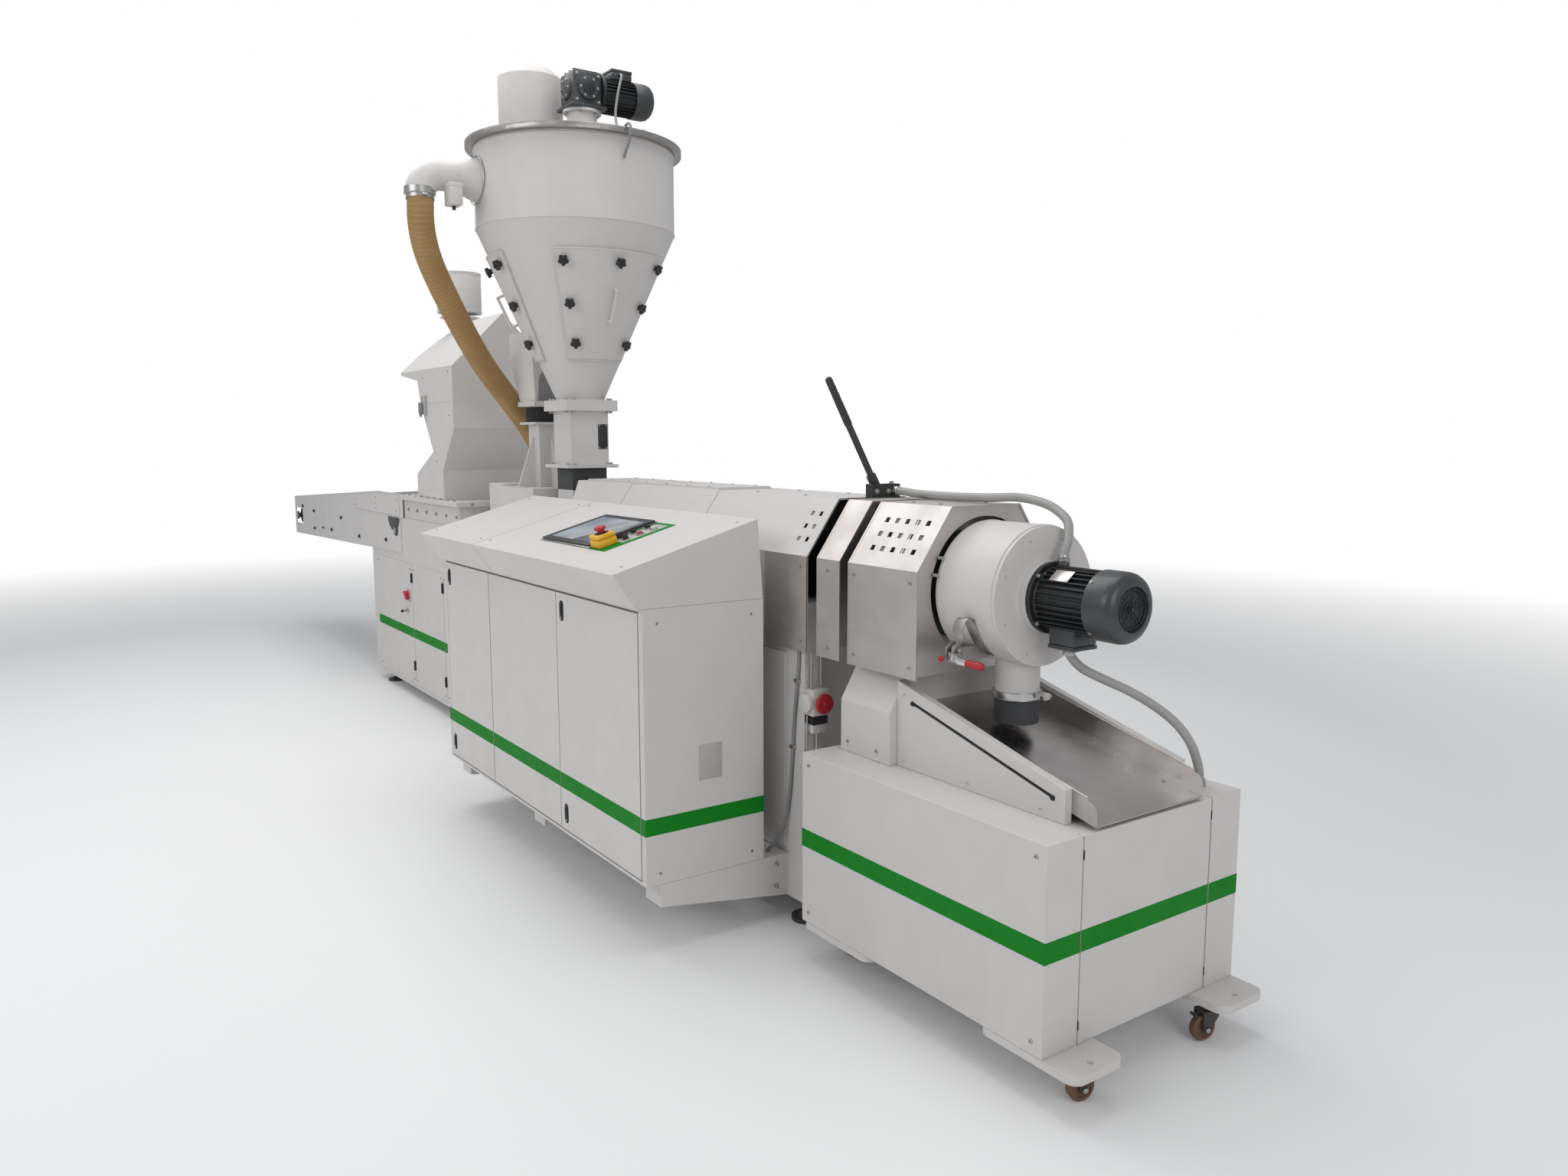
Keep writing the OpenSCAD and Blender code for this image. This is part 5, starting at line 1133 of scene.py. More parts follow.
class PELLETIZER_OT_console(bpy.types.Operator):
    """Seam of the console, touch screen in its bezel, green strip with switches"""

    bl_idname = "pelletizer.console"
    bl_label = "Console"

    def execute(self, context):
        grid = on_slope(PANEL_X, PANEL_UP)
        bm = bmesh.new()
        box(bm, (0, 0, 0.0004), (PANEL_W, PANEL_D, 0.0120), 0.003, slot=0, at=grid)
        up = grid.to_3x3() @ Z
        top = max(bm.faces, key=lambda f: (f.calc_center_median().dot(up), f.calc_area()))
        bmesh.ops.inset_region(bm, faces=[top], thickness=0.020, depth=0, use_even_offset=True)
        bmesh.ops.inset_region(bm, faces=[top], thickness=0.003, depth=0, use_even_offset=True)
        bmesh.ops.translate(bm, verts=top.verts, vec=-up * 0.0016)
        top.material_index = 1
        for z in (0.0005, 0.0030):
            box(bm, (-0.005, -0.005, z), (PANEL_W + 0.005, PANEL_D + 0.005, z + 0.0018), 0.0006, slot=2, at=grid)
        panel = finished("touch_screen", bm, ["panel_black", "display", "zinc"])
        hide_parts("operator_panel")
        bm = bmesh.new()
        x0 = PANEL_W + 0.008
        box(bm, (x0, -0.006, 0), (x0 + 0.124, PANEL_D + 0.006, 0.0010), slot=0, at=grid)
        box(bm, (x0 + 0.012, 0.080, 0.0008), (x0 + 0.098, PANEL_D - 0.012, 0.0016), 0.0003, slot=1, at=grid)
        for i in range(3):
            for j in range(2):
                spot = grid @ Vector((x0 + 0.030 + j * 0.046, 0.104 + i * 0.056, 0.0016))
                rod(bm, spot, spot + up * 0.004, 0.0145, sides=28, bevel=0.0008, slot=2)
                if j == 0 or i == 0:
                    rod(bm, spot + up * 0.004, spot + up * 0.016, 0.0105, 0.0098, sides=24, bevel=0.0015, slot=3)
                    turn = grid @ Matrix.Translation((x0 + 0.030 + j * 0.046, 0.104 + i * 0.056, 0.0176))
                    box(bm, (-0.0022, -0.0098, -0.003), (0.0022, 0.0098, 0.005), 0.0008, slot=3, at=turn)
                else:
                    rod(bm, spot + up * 0.004, spot + up * 0.011, 0.0108, 0.0090, sides=24, bevel=0.002,
                        slot=4 if i == 1 else 5)
        finished("switch_strip", bm,
                 ["green_band", "grey_paint", "zinc", "black_plastic", "grip_red", "white_paint"])
        bm = bmesh.new()
        seam = on_slope(-2.508)
        box(bm, (-0.0008, 0.002, -0.0004), (0.0008, 0.545, 0.0003), at=seam)
        fall = math.atan2(0.115, -0.080)
        fascia = Matrix.Translation((-2.508, CONSOLE_FRONT, CONSOLE_TIP)) @ Matrix.Rotation(
            math.atan2(1.127 - CONSOLE_TIP, -0.820 - CONSOLE_FRONT), 4, "X")
        box(bm, (-0.0008, 0.001, -0.0003), (0.0008, 0.139, 0.0004), at=fascia)
        finished("console_seam", bm, ["black_metal"])
        bm = bmesh.new()
        for x in (CAB_X0 + 0.05, -2.56, -2.46, CAB_X1 - 0.05):
            for y in (0.06, 0.50):
                spot = on_slope(x) @ Vector((0, y, 0))
                screw(bm, spot, up, 0.009)
        finished("console_screws", bm, ["zinc", "black_metal"])
        return {"FINISHED"}


class PELLETIZER_OT_stop(bpy.types.Operator):
    """Yellow emergency stop box with its red mushroom button"""

    bl_idname = "pelletizer.stop"
    bl_label = "Emergency stop"

    def execute(self, context):
        grid = on_slope(PANEL_X + PANEL_W + 0.010, PANEL_UP + 0.004)
        up = grid.to_3x3() @ Z
        side, height = 0.072, 0.044
        bm = bmesh.new()
        box(bm, (0, 0, 0.0003), (side, side, height * 0.62), 0.005, at=grid)
        box(bm, (0.0012, 0.0012, height * 0.63), (side - 0.0012, side - 0.0012, height), 0.006, at=grid)
        for x in (0.010, side - 0.010):
            for y in (0.010, side - 0.010):
                screw(bm, grid @ Vector((x, y, height - 0.0005)), up, 0.006, slot=1, socket=2)
        centre = grid @ Vector((side / 2, side / 2, height))
        lathe(bm, [(0, 0), (0.025, 0), (0.025, 0.0012), (0.016, 0.004), (0, 0.004)], centre, up, 48, slot=2)
        stop = finished("stop_box", bm, ["stop_yellow", "zinc", "black_plastic"])
        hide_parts("emergency_stop")
        bm = bmesh.new()
        cap = [(0, 0.003), (0.0120, 0.003), (0.0120, 0.011), (0.0195, 0.013), (0.0208, 0.017), (0.0195, 0.0215),
               (0.0150, 0.0245), (0.0080, 0.0258), (0, 0.0260)]
        lathe(bm, cap, centre, up, 56)
        finished("stop_button", bm, ["grip_red"], angle=60)
        return {"FINISHED"}


# BASES, SHREDDER AND CONVEYOR

SHRED_HALF = 0.300
PANELS = ((-6.108, -5.336), (-5.328, -4.736), (-4.728, -4.404))
EXTRUDER_PANELS = tuple((-4.396 + 0.775 * i, -3.629 + 0.775 * i) for i in range(4))


class PELLETIZER_OT_base(bpy.types.Operator):
    """Green band, panel screws, main switch with its key, hinges and foot nuts of the bases"""

    bl_idname = "pelletizer.base"
    bl_label = "Bases"

    def execute(self, context):
        bm = bmesh.new()
        for x0, x1 in PANELS:
            for s in SIDES:
                y = sorted((s * SHRED_HALF, s * (SHRED_HALF + BAND)))
                box(bm, (x0, y[0], 0.400), (x1, y[1], 0.458))
        for x0, x1 in EXTRUDER_PANELS:
            box(bm, (x0, 0.253, 0.400), (x1, 0.253 + BAND, 0.458))
        finished("base_band", bm, ["green_band"])
        bm = bmesh.new()
        for x0, x1 in PANELS:
            for s in SIDES:
                for x in (x0 + 0.03, x1 - 0.03):
                    for z in (0.13, 0.836):
                        screw(bm, (x, s * SHRED_HALF, z), (0, s, 0))
        for x0, x1 in EXTRUDER_PANELS:
            for x in (x0 + 0.03, x1 - 0.03):
                for z in (0.28, 0.905):
                    screw(bm, (x, 0.253, z), Y)
        for back in (1.240, 2.750, 4.260):
            for s in SIDES:
                rod(bm, (-back, s * 0.203, 0.0555), (-back, s * 0.203, 0.0625), 0.024, sides=6, bevel=0.001)
        for x in (-1.30, -2.22, -3.10):
            for z in (0.12, 0.20):
                bolt(bm, (x + 0.020, -0.3000, z + 0.005), (0, -1, 0), 0.001 + values().fasteners.bolt * 0.6)
        finished("base_screws", bm, ["zinc", "black_metal"])
        bm = bmesh.new()
        spot = Vector((-5.414, -SHRED_HALF, 0.664))
        box(bm, spot + Vector((-0.040, -0.004, -0.040)), spot + Vector((0.040, 0, 0.040)), 0.0015, slot=1)
        rod(bm, spot - Y * 0.004, spot - Y * 0.012, 0.030, 0.027, sides=36, bevel=0.0015, slot=0)
        turn = Matrix.Translation(spot) @ Matrix.Rotation(math.radians(40), 4, "Y")
        box(bm, (-0.034, -0.030, -0.0065), (0.034, -0.011, 0.0065), 0.003, slot=0, at=turn)
        key = Vector((-5.445, -SHRED_HALF, 0.562))
        rod(bm, key, key - Y * 0.010, 0.0150, 0.0130, sides=28, bevel=0.001, slot=2)
        box(bm, key + Vector((-0.0016, -0.030, -0.006)), key + Vector((0.0016, -0.009, 0.006)), 0.0006, slot=2)
        rod(bm, key + Vector((-0.0018, -0.037, -0.002)), key + Vector((0.0018, -0.037, -0.002)), 0.0095, sides=22,
            bevel=0.0005, slot=3)
        for x, z in ((-5.332, 0.78), (-5.332, 0.22), (-4.732, 0.78), (-4.732, 0.22)):
            box(bm, (x - 0.014, -SHRED_HALF - 0.004, z - 0.030), (x + 0.014, -SHRED_HALF, z + 0.030), 0.001, slot=3)
            rod(bm, (x, -SHRED_HALF - 0.006, z - 0.030), (x, -SHRED_HALF - 0.006, z + 0.030), 0.0048, sides=16,
                bevel=0.0006, slot=3)
        finished("main_switch", bm, ["grip_red", "grey_paint", "zinc", "black_plastic"])
        return {"FINISHED"}


class PELLETIZER_OT_valve(bpy.types.Operator):
    """Water valve on the frame's post: white body, red wheel, black foot and thin pipes"""

    bl_idname = "pelletizer.valve"
    bl_label = "Water valve"

    def execute(self, context):
        bm = bmesh.new()
        face, y = -1.190, -0.222
        box(bm, (face, y - 0.034, 0.742), (face + 0.052, y + 0.034, 0.830), 0.004)
        rod(bm, (face + 0.026, y - 0.034, 0.786), (face + 0.026, y - 0.052, 0.786), 0.030, sides=36, bevel=0.002)
        box(bm, (face, y - 0.028, 0.682), (face + 0.044, y + 0.028, 0.712), 0.003)
        box(bm, (face, y - 0.030, 0.7125), (face + 0.048, y + 0.030, 0.7415), 0.002, slot=2)
        rod(bm, (face + 0.052, y, 0.786), (face + 0.064, y, 0.786), 0.009, sides=20, slot=3)
        lathe(bm, [(0, 0), (0.031, 0), (0.034, 0.003), (0.034, 0.009), (0.031, 0.012), (0.010, 0.012), (0.008, 0.016),
                   (0, 0.016)], (face + 0.064, y, 0.786), X, 40, slot=1)
        for dy in (-0.018, 0.020):
            rod(bm, (face + 0.020, y + dy, 0.830), (face + 0.020, y + dy, 0.954), 0.0045, sides=16, slot=3)
        rod(bm, (face + 0.022, y - 0.036, 0.620), (face + 0.022, y - 0.036, 0.742), 0.0035, sides=14, slot=3)
        rod(bm, (face + 0.020, y + 0.006, 0.600), (face + 0.020, y + 0.006, 0.682), 0.0075, sides=18, slot=3)
        finished("water_valve", bm, ["white_paint", "grip_red", "black_rubber", "zinc"])
        bm = bmesh.new()
        for x, z in ((-1.2215, 0.850), (-1.2470, 0.620)):
            box(bm, (x - 0.009, -0.2680, z - 0.006), (x + 0.009, -0.2665, z + 0.006), 0.0005)
            for side in SIDES:
                box(bm, (x + side * 0.009 - 0.0015, -0.2680, z - 0.006),
                    (x + side * 0.009 + 0.0015, -0.2530, z + 0.006), 0.0004)
        finished("cable_clips", bm, ["zinc"])
        return {"FINISHED"}


class PELLETIZER_OT_shredder(bpy.types.Operator):
    """Deck bolts, hood flange, seams, sensor and vent bands of the shredder"""

    bl_idname = "pelletizer.shredder"
    bl_label = "Shredder"

    def execute(self, context):
        bm = bmesh.new()
        deck_z, deck_half = 1.300, 0.315
        for k in range(9):
            x = -5.40 + k * 0.118
            for s in SIDES:
                bolt(bm, (x, s * 0.306, deck_z), Z, 0.013)
        for k in range(6):
            for s in SIDES:
                bolt(bm, (-5.38 + k * 0.18, s * 0.285, 1.21), (0, s, 0), 0.015)
        for k in range(4):
            bolt(bm, (-4.400, -0.225 + 0.15 * k, 1.285), X, 0.013)
        for s in SIDES:
            for x, z in ((-4.75, 1.52), (-4.50, 1.78), (-4.50, 2.02), (-4.95, 2.00)):
                screw(bm, (x, s * 0.300, z), (0, s, 0), 0.010, socket=2)
        finished("shredder_bolts", bm, ["zinc", "white_paint", "black_metal"])
        bm = bmesh.new()
        for s in SIDES:
            y0, y1 = sorted((s * 0.3000, s * 0.3012))
            box(bm, (-5.120, y0, 1.302), (-4.660, y1, 1.330), 0.0004)
            box(bm, (-4.446, y0, 1.730), (-4.4325, y1, 2.045), 0.0004)
            box(bm, (-4.960, y0, 1.855), (-4.470, y1, 1.862), 0.0003)
        finished("hood_straps", bm, ["white_paint"])
        bm = bmesh.new()
        box(bm, (-4.950, -0.318, 1.790), (-4.890, -0.300, 1.900), 0.003)
        box(bm, (-4.944, -0.336, 1.800), (-4.900, -0.318, 1.860), 0.004, slot=1)
        rod(bm, (-4.922, -0.330, 1.800), (-4.922, -0.330, 1.776), 0.009, 0.007, sides=18, bevel=0.001, slot=1)
        rod(bm, (-4.922, -0.3185, 1.885), (-4.922, -0.3225, 1.885), 0.006, sides=18, bevel=0.001, slot=2)
        finished("hood_sensor", bm, ["grey_paint", "cable_grey", "zinc"])
        bm = bmesh.new()
        for z in (2.410, 2.640):
            ring(bm, (-5.132, 0, z), Z, 0.1302, 0.0022, 72)
        for z in (2.420, 2.540, 2.630):
            lathe(bm, [(0.1298, -0.004), (0.1312, -0.004), (0.1312, 0.004), (0.1298, 0.004), (0.1298, -0.004)],
                  (-5.132, 0, z), Z, 72)
        finished("vent_bands", bm, ["white_paint"])
        return {"FINISHED"}


CONV_Y = 0.3003
CONV_TAN = 0.0243


class PELLETIZER_OT_conveyor(bpy.types.Operator):
    """Bearings, adjuster slots, bolts, half-round plates and belt cleats of the conveyor"""

    bl_idname = "pelletizer.conveyor"
    bl_label = "Conveyor"

    def execute(self, context):
        bm = bmesh.new()
        for s in SIDES:
            for x, z in ((-7.030, 1.064), (-7.335, 0.955), (-6.532, 0.961), (-5.859, 0.985), (-7.90, 1.070),
                         (-8.30, 1.090), (-7.90, 0.930)):
                rod(bm, (x, s * CONV_Y, z), (x, s * (CONV_Y + 0.0008), z), 0.016, sides=24, slot=1)
                bolt(bm, (x, s * (CONV_Y + 0.0008), z), (0, s, 0), 0.017, slot=1)
            y0, y1 = sorted((s * CONV_Y, s * (CONV_Y + 0.0012)))
            plate(bm, [(x - 7.62, z + 0.952) for x, z in oval(0.018, 0.018)], y0, y1, "y", slot=1)
            box(bm, (-7.66, y0, 0.946), (-7.58, y1, 0.958), 0.0004, slot=1)
            half = [(-5.665 + 0.120 * math.cos(math.pi * k / 16), 1.145 - 0.085 * math.sin(math.pi * k / 16))
                    for k in range(17)]
            z0, z1 = sorted((s * (CONV_Y + 0.0001), s * (CONV_Y + 0.0045)))
            plate(bm, half, z0, z1, "y", 0.0006, slot=3)
            for x in (-6.58, -6.05, -5.58):
                for z in (1.185, 1.262 if x > -6.5 else 1.225):
                    screw(bm, (x, s * (CONV_Y + 0.0062), z), (0, s, 0), 0.011, slot=0, socket=2)
            for x, z in ((-8.472, 1.005), (-5.620, 1.061)):
                y = s * (CONV_Y + 0.0002)
                rod(bm, (x, y, z), (x, y + s * 0.010, z), 0.036, 0.030, sides=36, bevel=0.002, slot=3)
                rod(bm, (x, y + s * 0.010, z), (x, y + s * 0.0135, z), 0.0205, sides=28, bevel=0.001, slot=0)
        finished("conveyor_fittings", bm, ["zinc", "black_metal", "fin_black", "cast_grey"])
        bm = bmesh.new()
        start, stop = Vector((-8.472, 0, 1.005)), Vector((-5.620, 0, 1.061))
        run = (stop - start).normalized()
        out = Vector((-run.z, 0, run.x))
        for k in range(12):
            foot = start + run * (0.10 + 0.235 * k) + out * 0.0598
            grid = Matrix.Translation(foot) @ Matrix.Rotation(-math.atan2(run.z, run.x), 4, "Y")
            box(bm, (-0.004, -0.255, 0), (0.004, 0.255, 0.022), 0.0015, at=grid)
        finished("belt_cleats", bm, ["belt_dark"])
        bm = bmesh.new()
        for s in SIDES:
            y0, y1 = sorted((s * (CONV_Y - 0.008), s * (CONV_Y + 0.003)))
            top0, top1 = (-8.602, 1.160), (-6.032, 1.300)
            lean = math.atan2(top1[1] - top0[1], top1[0] - top0[0])
            grid = Matrix.Translation((top0[0], 0, top0[1])) @ Matrix.Rotation(-lean, 4, "Y")
            reach = math.hypot(top1[0] - top0[0], top1[1] - top0[1])
            box(bm, (0.001, y0, -0.0002), (reach, y1, 0.0016), 0.0005, at=grid)
            box(bm, (-6.030, y0, 1.2998), (-5.474, y1, 1.3016), 0.0005)
        finished("conveyor_hems", bm, ["white_paint"])
        return {"FINISHED"}


# HOPPER

HOP_X, BOWL_R, RIM_Z, LID_Z = -3.432, 0.4725, 3.000, 3.026
CONE_TOP, CONE_FOOT, CONE_FOOT_R = 2.630, 1.836, 0.115
CONE_LEAN = math.atan((BOWL_R - CONE_FOOT_R) / (CONE_TOP - CONE_FOOT))
DOOR_TURNS = (3, -120)
DOOR_LOW, DOOR_HIGH = 2.025, 2.505
KNOBS = (
    (-36, 2.4599), (0, 2.4599), (36, 2.4599), (-34, 2.2794), (34, 2.2794), (-31, 2.1066), (31, 2.1066),
)


def on_cone(turn, z, lift=0.0):
    """Frame square to the cone's wall: local z points outwards."""
    radius = CONE_FOOT_R + (z - CONE_FOOT) * math.tan(CONE_LEAN)
    return (Matrix.Translation((HOP_X, 0, 0)) @ Matrix.Rotation(math.radians(turn), 4, "Z")
            @ Matrix.Translation((radius, 0, z)) @ Matrix.Rotation(math.pi / 2 + CONE_LEAN, 4, "Y")
            @ Matrix.Translation((0, 0, lift)))


def star_knob(bm, grid, slot=0):
    """Five-lobed hand knob."""
    outline = []
    for k in range(40):
        a = math.tau * k / 40
        r = 0.0224 + 0.0036 * math.cos(5 * a)
        outline.append((r * math.cos(a), r * math.sin(a)))
    plate(bm, outline, 0.012, 0.030, "z", 0.003, slot=slot, at=grid)
    rod(bm, grid @ Vector((0, 0, -0.002)), grid @ Vector((0, 0, 0.0125)), 0.0120, 0.0152, sides=24, slot=slot)
    rod(bm, grid @ Vector((0, 0, 0.0295)), grid @ Vector((0, 0, 0.0325)), 0.0075, sides=20, bevel=0.001, slot=slot)


class PELLETIZER_OT_hopper(bpy.types.Operator):
    """Star knobs, door handles, rim bolts, weld beads and flange bolts of the feed hopper"""

    bl_idname = "pelletizer.hopper"
    bl_label = "Feed hopper"

    def execute(self, context):
        bm = bmesh.new()
        for door in DOOR_TURNS:
            for turn, z in KNOBS:
                star_knob(bm, on_cone(door + turn, z, 0.0125))
        finished("door_knobs", bm, ["black_plastic"], angle=40)
        bm = bmesh.new()
        for door in DOOR_TURNS:
            high, low = on_cone(door, 2.345, 0.0118), on_cone(door, 2.205, 0.0118)
            top, foot = high @ Vector((0, 0, 0.034)), low @ Vector((0, 0, 0.034))
            rod(bm, high @ Vector((0, 0, 0)), top, 0.0070, sides=18, bevel=0.0008)
            rod(bm, low @ Vector((0, 0, 0)), foot, 0.0070, sides=18, bevel=0.0008)
            rod(bm, top, foot, 0.0068, sides=18)
            for end in (top, foot):
                ball(bm, end, 0.0070)
            for z in (DOOR_LOW, DOOR_HIGH):
                edge = [on_cone(door + 3 * k, z, 0.0116).to_translation() for k in range(-14, 15)]
                sweep(bm, edge, lambda i, k: 0.0026, 10)
            for turn in (-42, 42):
                edge = [on_cone(door + turn, DOOR_LOW + (DOOR_HIGH - DOOR_LOW) * k / 8, 0.0116).to_translation()
                        for k in range(9)]
                sweep(bm, edge, lambda i, k: 0.0026, 10)
        ring(bm, (HOP_X, 0, CONE_TOP), Z, BOWL_R + 0.0004, 0.0022, 128)
        ring(bm, (HOP_X, 0, RIM_Z - 0.010), Z, BOWL_R + 0.0004, 0.0030, 128)
        ring(bm, (HOP_X, 0, CONE_FOOT + 0.002), Z, CONE_FOOT_R + 0.001, 0.0030, 64)
        finished("hopper_beads", bm, ["white_paint"], angle=50)
        bm = bmesh.new()
        for k in range(12):
            a = math.tau * (k + 0.5) / 12
            bolt(bm, (HOP_X + 0.4855 * math.cos(a), 0.4855 * math.sin(a), LID_Z - 0.0005), Z, 0.015)
        ring(bm, (HOP_X, 0, RIM_Z + 0.013), Z, 0.5085, 0.0014, 160)
        for centre_z in (1.810, 1.784):
            for k in range(4):
                for side in (-0.09, 0.09):
                    a = math.radians(90 * k)
                    out = Vector((math.cos(a), math.sin(a), 0))
                    spot = Vector((HOP_X, 0, 0)) + out * 0.119 + Vector((-out.y, out.x, 0)) * side
                    z, normal = (1.8362, Z) if centre_z > 1.8 else (1.7838, -Z)
                    bolt(bm, (spot.x, spot.y, z), normal, 0.015)
        for k in range(4):
            for side in (-0.09, 0.09):
                a = math.radians(90 * k)
                out = Vector((math.cos(a), math.sin(a), 0))
                spot = Vector((HOP_X, 0, 1.5242)) + out * 0.117 + Vector((-out.y, out.x, 0)) * side
                bolt(bm, spot, Z, 0.014)
        finished("hopper_bolts", bm, ["zinc"])
        bm = bmesh.new()
        half, x = 0.0915, HOP_X
        box(bm, (x - half, -half, 1.400), (x + half, half, 1.5075), 0.002)
        box(bm, (x + 0.1000, 0.044, 1.600), (x + 0.1030, 0.094, 1.720), 0.001, slot=1)
        for y in (0.049, 0.089):
            for z in (1.606, 1.714):
                screw(bm, (x + 0.1030, y, z), X, 0.008, slot=2, socket=1)
        finished("feed_block", bm, ["cast_grey", "black_metal", "zinc"])
        return {"FINISHED"}


class PELLETIZER_OT_inlet(bpy.types.Operator):
    """Steel hose end, junction box, casing flange, coupling folds, filter latches and a grey plate with painted shade
    on the casing's taper
    """

    bl_idname = "pelletizer.inlet"
    bl_label = "Inlet and casing"

    def execute(self, context):
        bm = bmesh.new()
        x, y = -3.487, -0.735
        lathe(bm, [(0.0655, 0), (0.0685, 0), (0.0685, 0.030), (0.0655, 0.030), (0.0655, 0)], (x, y, 2.7405), Z, 56)
        ring(bm, (x, y, 2.743), Z, 0.0688, 0.0016, 56)
        ring(bm, (x, -0.4745, 2.835), -Y, 0.108, 0.0035, 64)
        finished("elbow_band", bm, ["zinc"])
        bm = bmesh.new()
        box(bm, (-3.4545, -0.6355, 2.6935), (-3.3735, -0.5765, 2.7865), 0.004)
        box(bm, (-3.4565, -0.6380, 2.7720), (-3.3715, -0.5740, 2.7910), 0.003)
        for dx in (-3.447, -3.381):
            for dy in (-0.630, -0.582):
                screw(bm, (dx, dy, 2.7910), Z, 0.006, slot=1, socket=2)
        rod(bm, (-3.414, -0.606, 2.6935), (-3.414, -0.606, 2.676), 0.0085, sides=6, bevel=0.0006, slot=2)
        finished("junction_box", bm, ["white_paint", "zinc", "black_plastic"])
        bm = bmesh.new()
        folds = [(0.098, 0.0006)]
        for k in range(5):
            z = 0.0006 + 0.0160 * k
            folds += [(0.1012, z), (0.1045, z + 0.0040), (0.1045, z + 0.0080), (0.1012, z + 0.0120)]
        folds += [(0.098, 0.0788), (0.098, 0.0006)]
        lathe(bm, folds, (-3.860, 0, 1.7352), Z, 72)
        finished("coupling_folds", bm, ["black_rubber"], angle=50)
        bm = bmesh.new()
        for k in range(4):
            for side in (-0.075, 0.075):
                a = math.radians(90 * k)
                out = Vector((math.cos(a), math.sin(a), 0))
                spot = Vector((-3.860, 0, 1.8412)) + out * 0.1035 + Vector((-out.y, out.x, 0)) * side
                bolt(bm, spot, Z, 0.009)
                spot = Vector((-3.860, 0, 1.7352)) + out * 0.0985 + Vector((-out.y, out.x, 0)) * side
                bolt(bm, (spot.x, spot.y, 1.7230), -Z, 0.010)
        finished("casing_bolts", bm, ["zinc"])
        # Grey plate with screws over the +x face of the casing's lower taper: painted shade, darkening that face where
        # it lies in shade.
        bm = bmesh.new()
        grid = Matrix.Translation((-3.760, 0, 1.841)) @ Matrix.Rotation(math.atan(0.050 / 0.239), 4, "Y")
        top = [(0.086 * math.cos(math.pi * k / 12), 0.110 + 0.070 * math.sin(math.pi * k / 12)) for k in range(13)]
        plate(bm, [(-0.086, 0.006), (0.086, 0.006)] + top, 0.0002, 0.0030, "x", 0.0006, at=grid)
        for y, z in ((-0.074, 0.020), (0.074, 0.020), (-0.074, 0.110), (0.074, 0.110), (0, 0.168)):
            screw(bm, grid @ Vector((0.0030, y, z)), X, 0.009, slot=1, socket=2)
        finished("casing_taper_shade", bm, ["cable_grey", "zinc", "black_metal"])
        bm = bmesh.new()
        fx, fy = HOP_X - 0.255, -0.110
        for z in (LID_Z + 0.012, LID_Z + 0.075):
            lathe(bm, [(0.1548, 0), (0.1562, 0), (0.1562, 0.010), (0.1548, 0.010), (0.1548, 0)], (fx, fy, z), Z, 96)
        for turn in (-150, -30, 90):
            a = math.radians(turn)
            out = Vector((math.cos(a), math.sin(a), 0))
            grid = Matrix.Translation((fx, fy, LID_Z + 0.045)) @ Matrix.Rotation(a, 4, "Z")
            box(bm, (0.1550, -0.012, -0.030), (0.1585, 0.012, 0.034), 0.001, slot=1, at=grid)
            box(bm, (0.1585, -0.006, -0.022), (0.1640, 0.006, 0.022), 0.0015, slot=1, at=grid)
        finished("filter_bands", bm, ["white_paint", "zinc"])
        return {"FINISHED"}


AGITATOR = Vector((HOP_X + 0.050, 0.020, LID_Z))


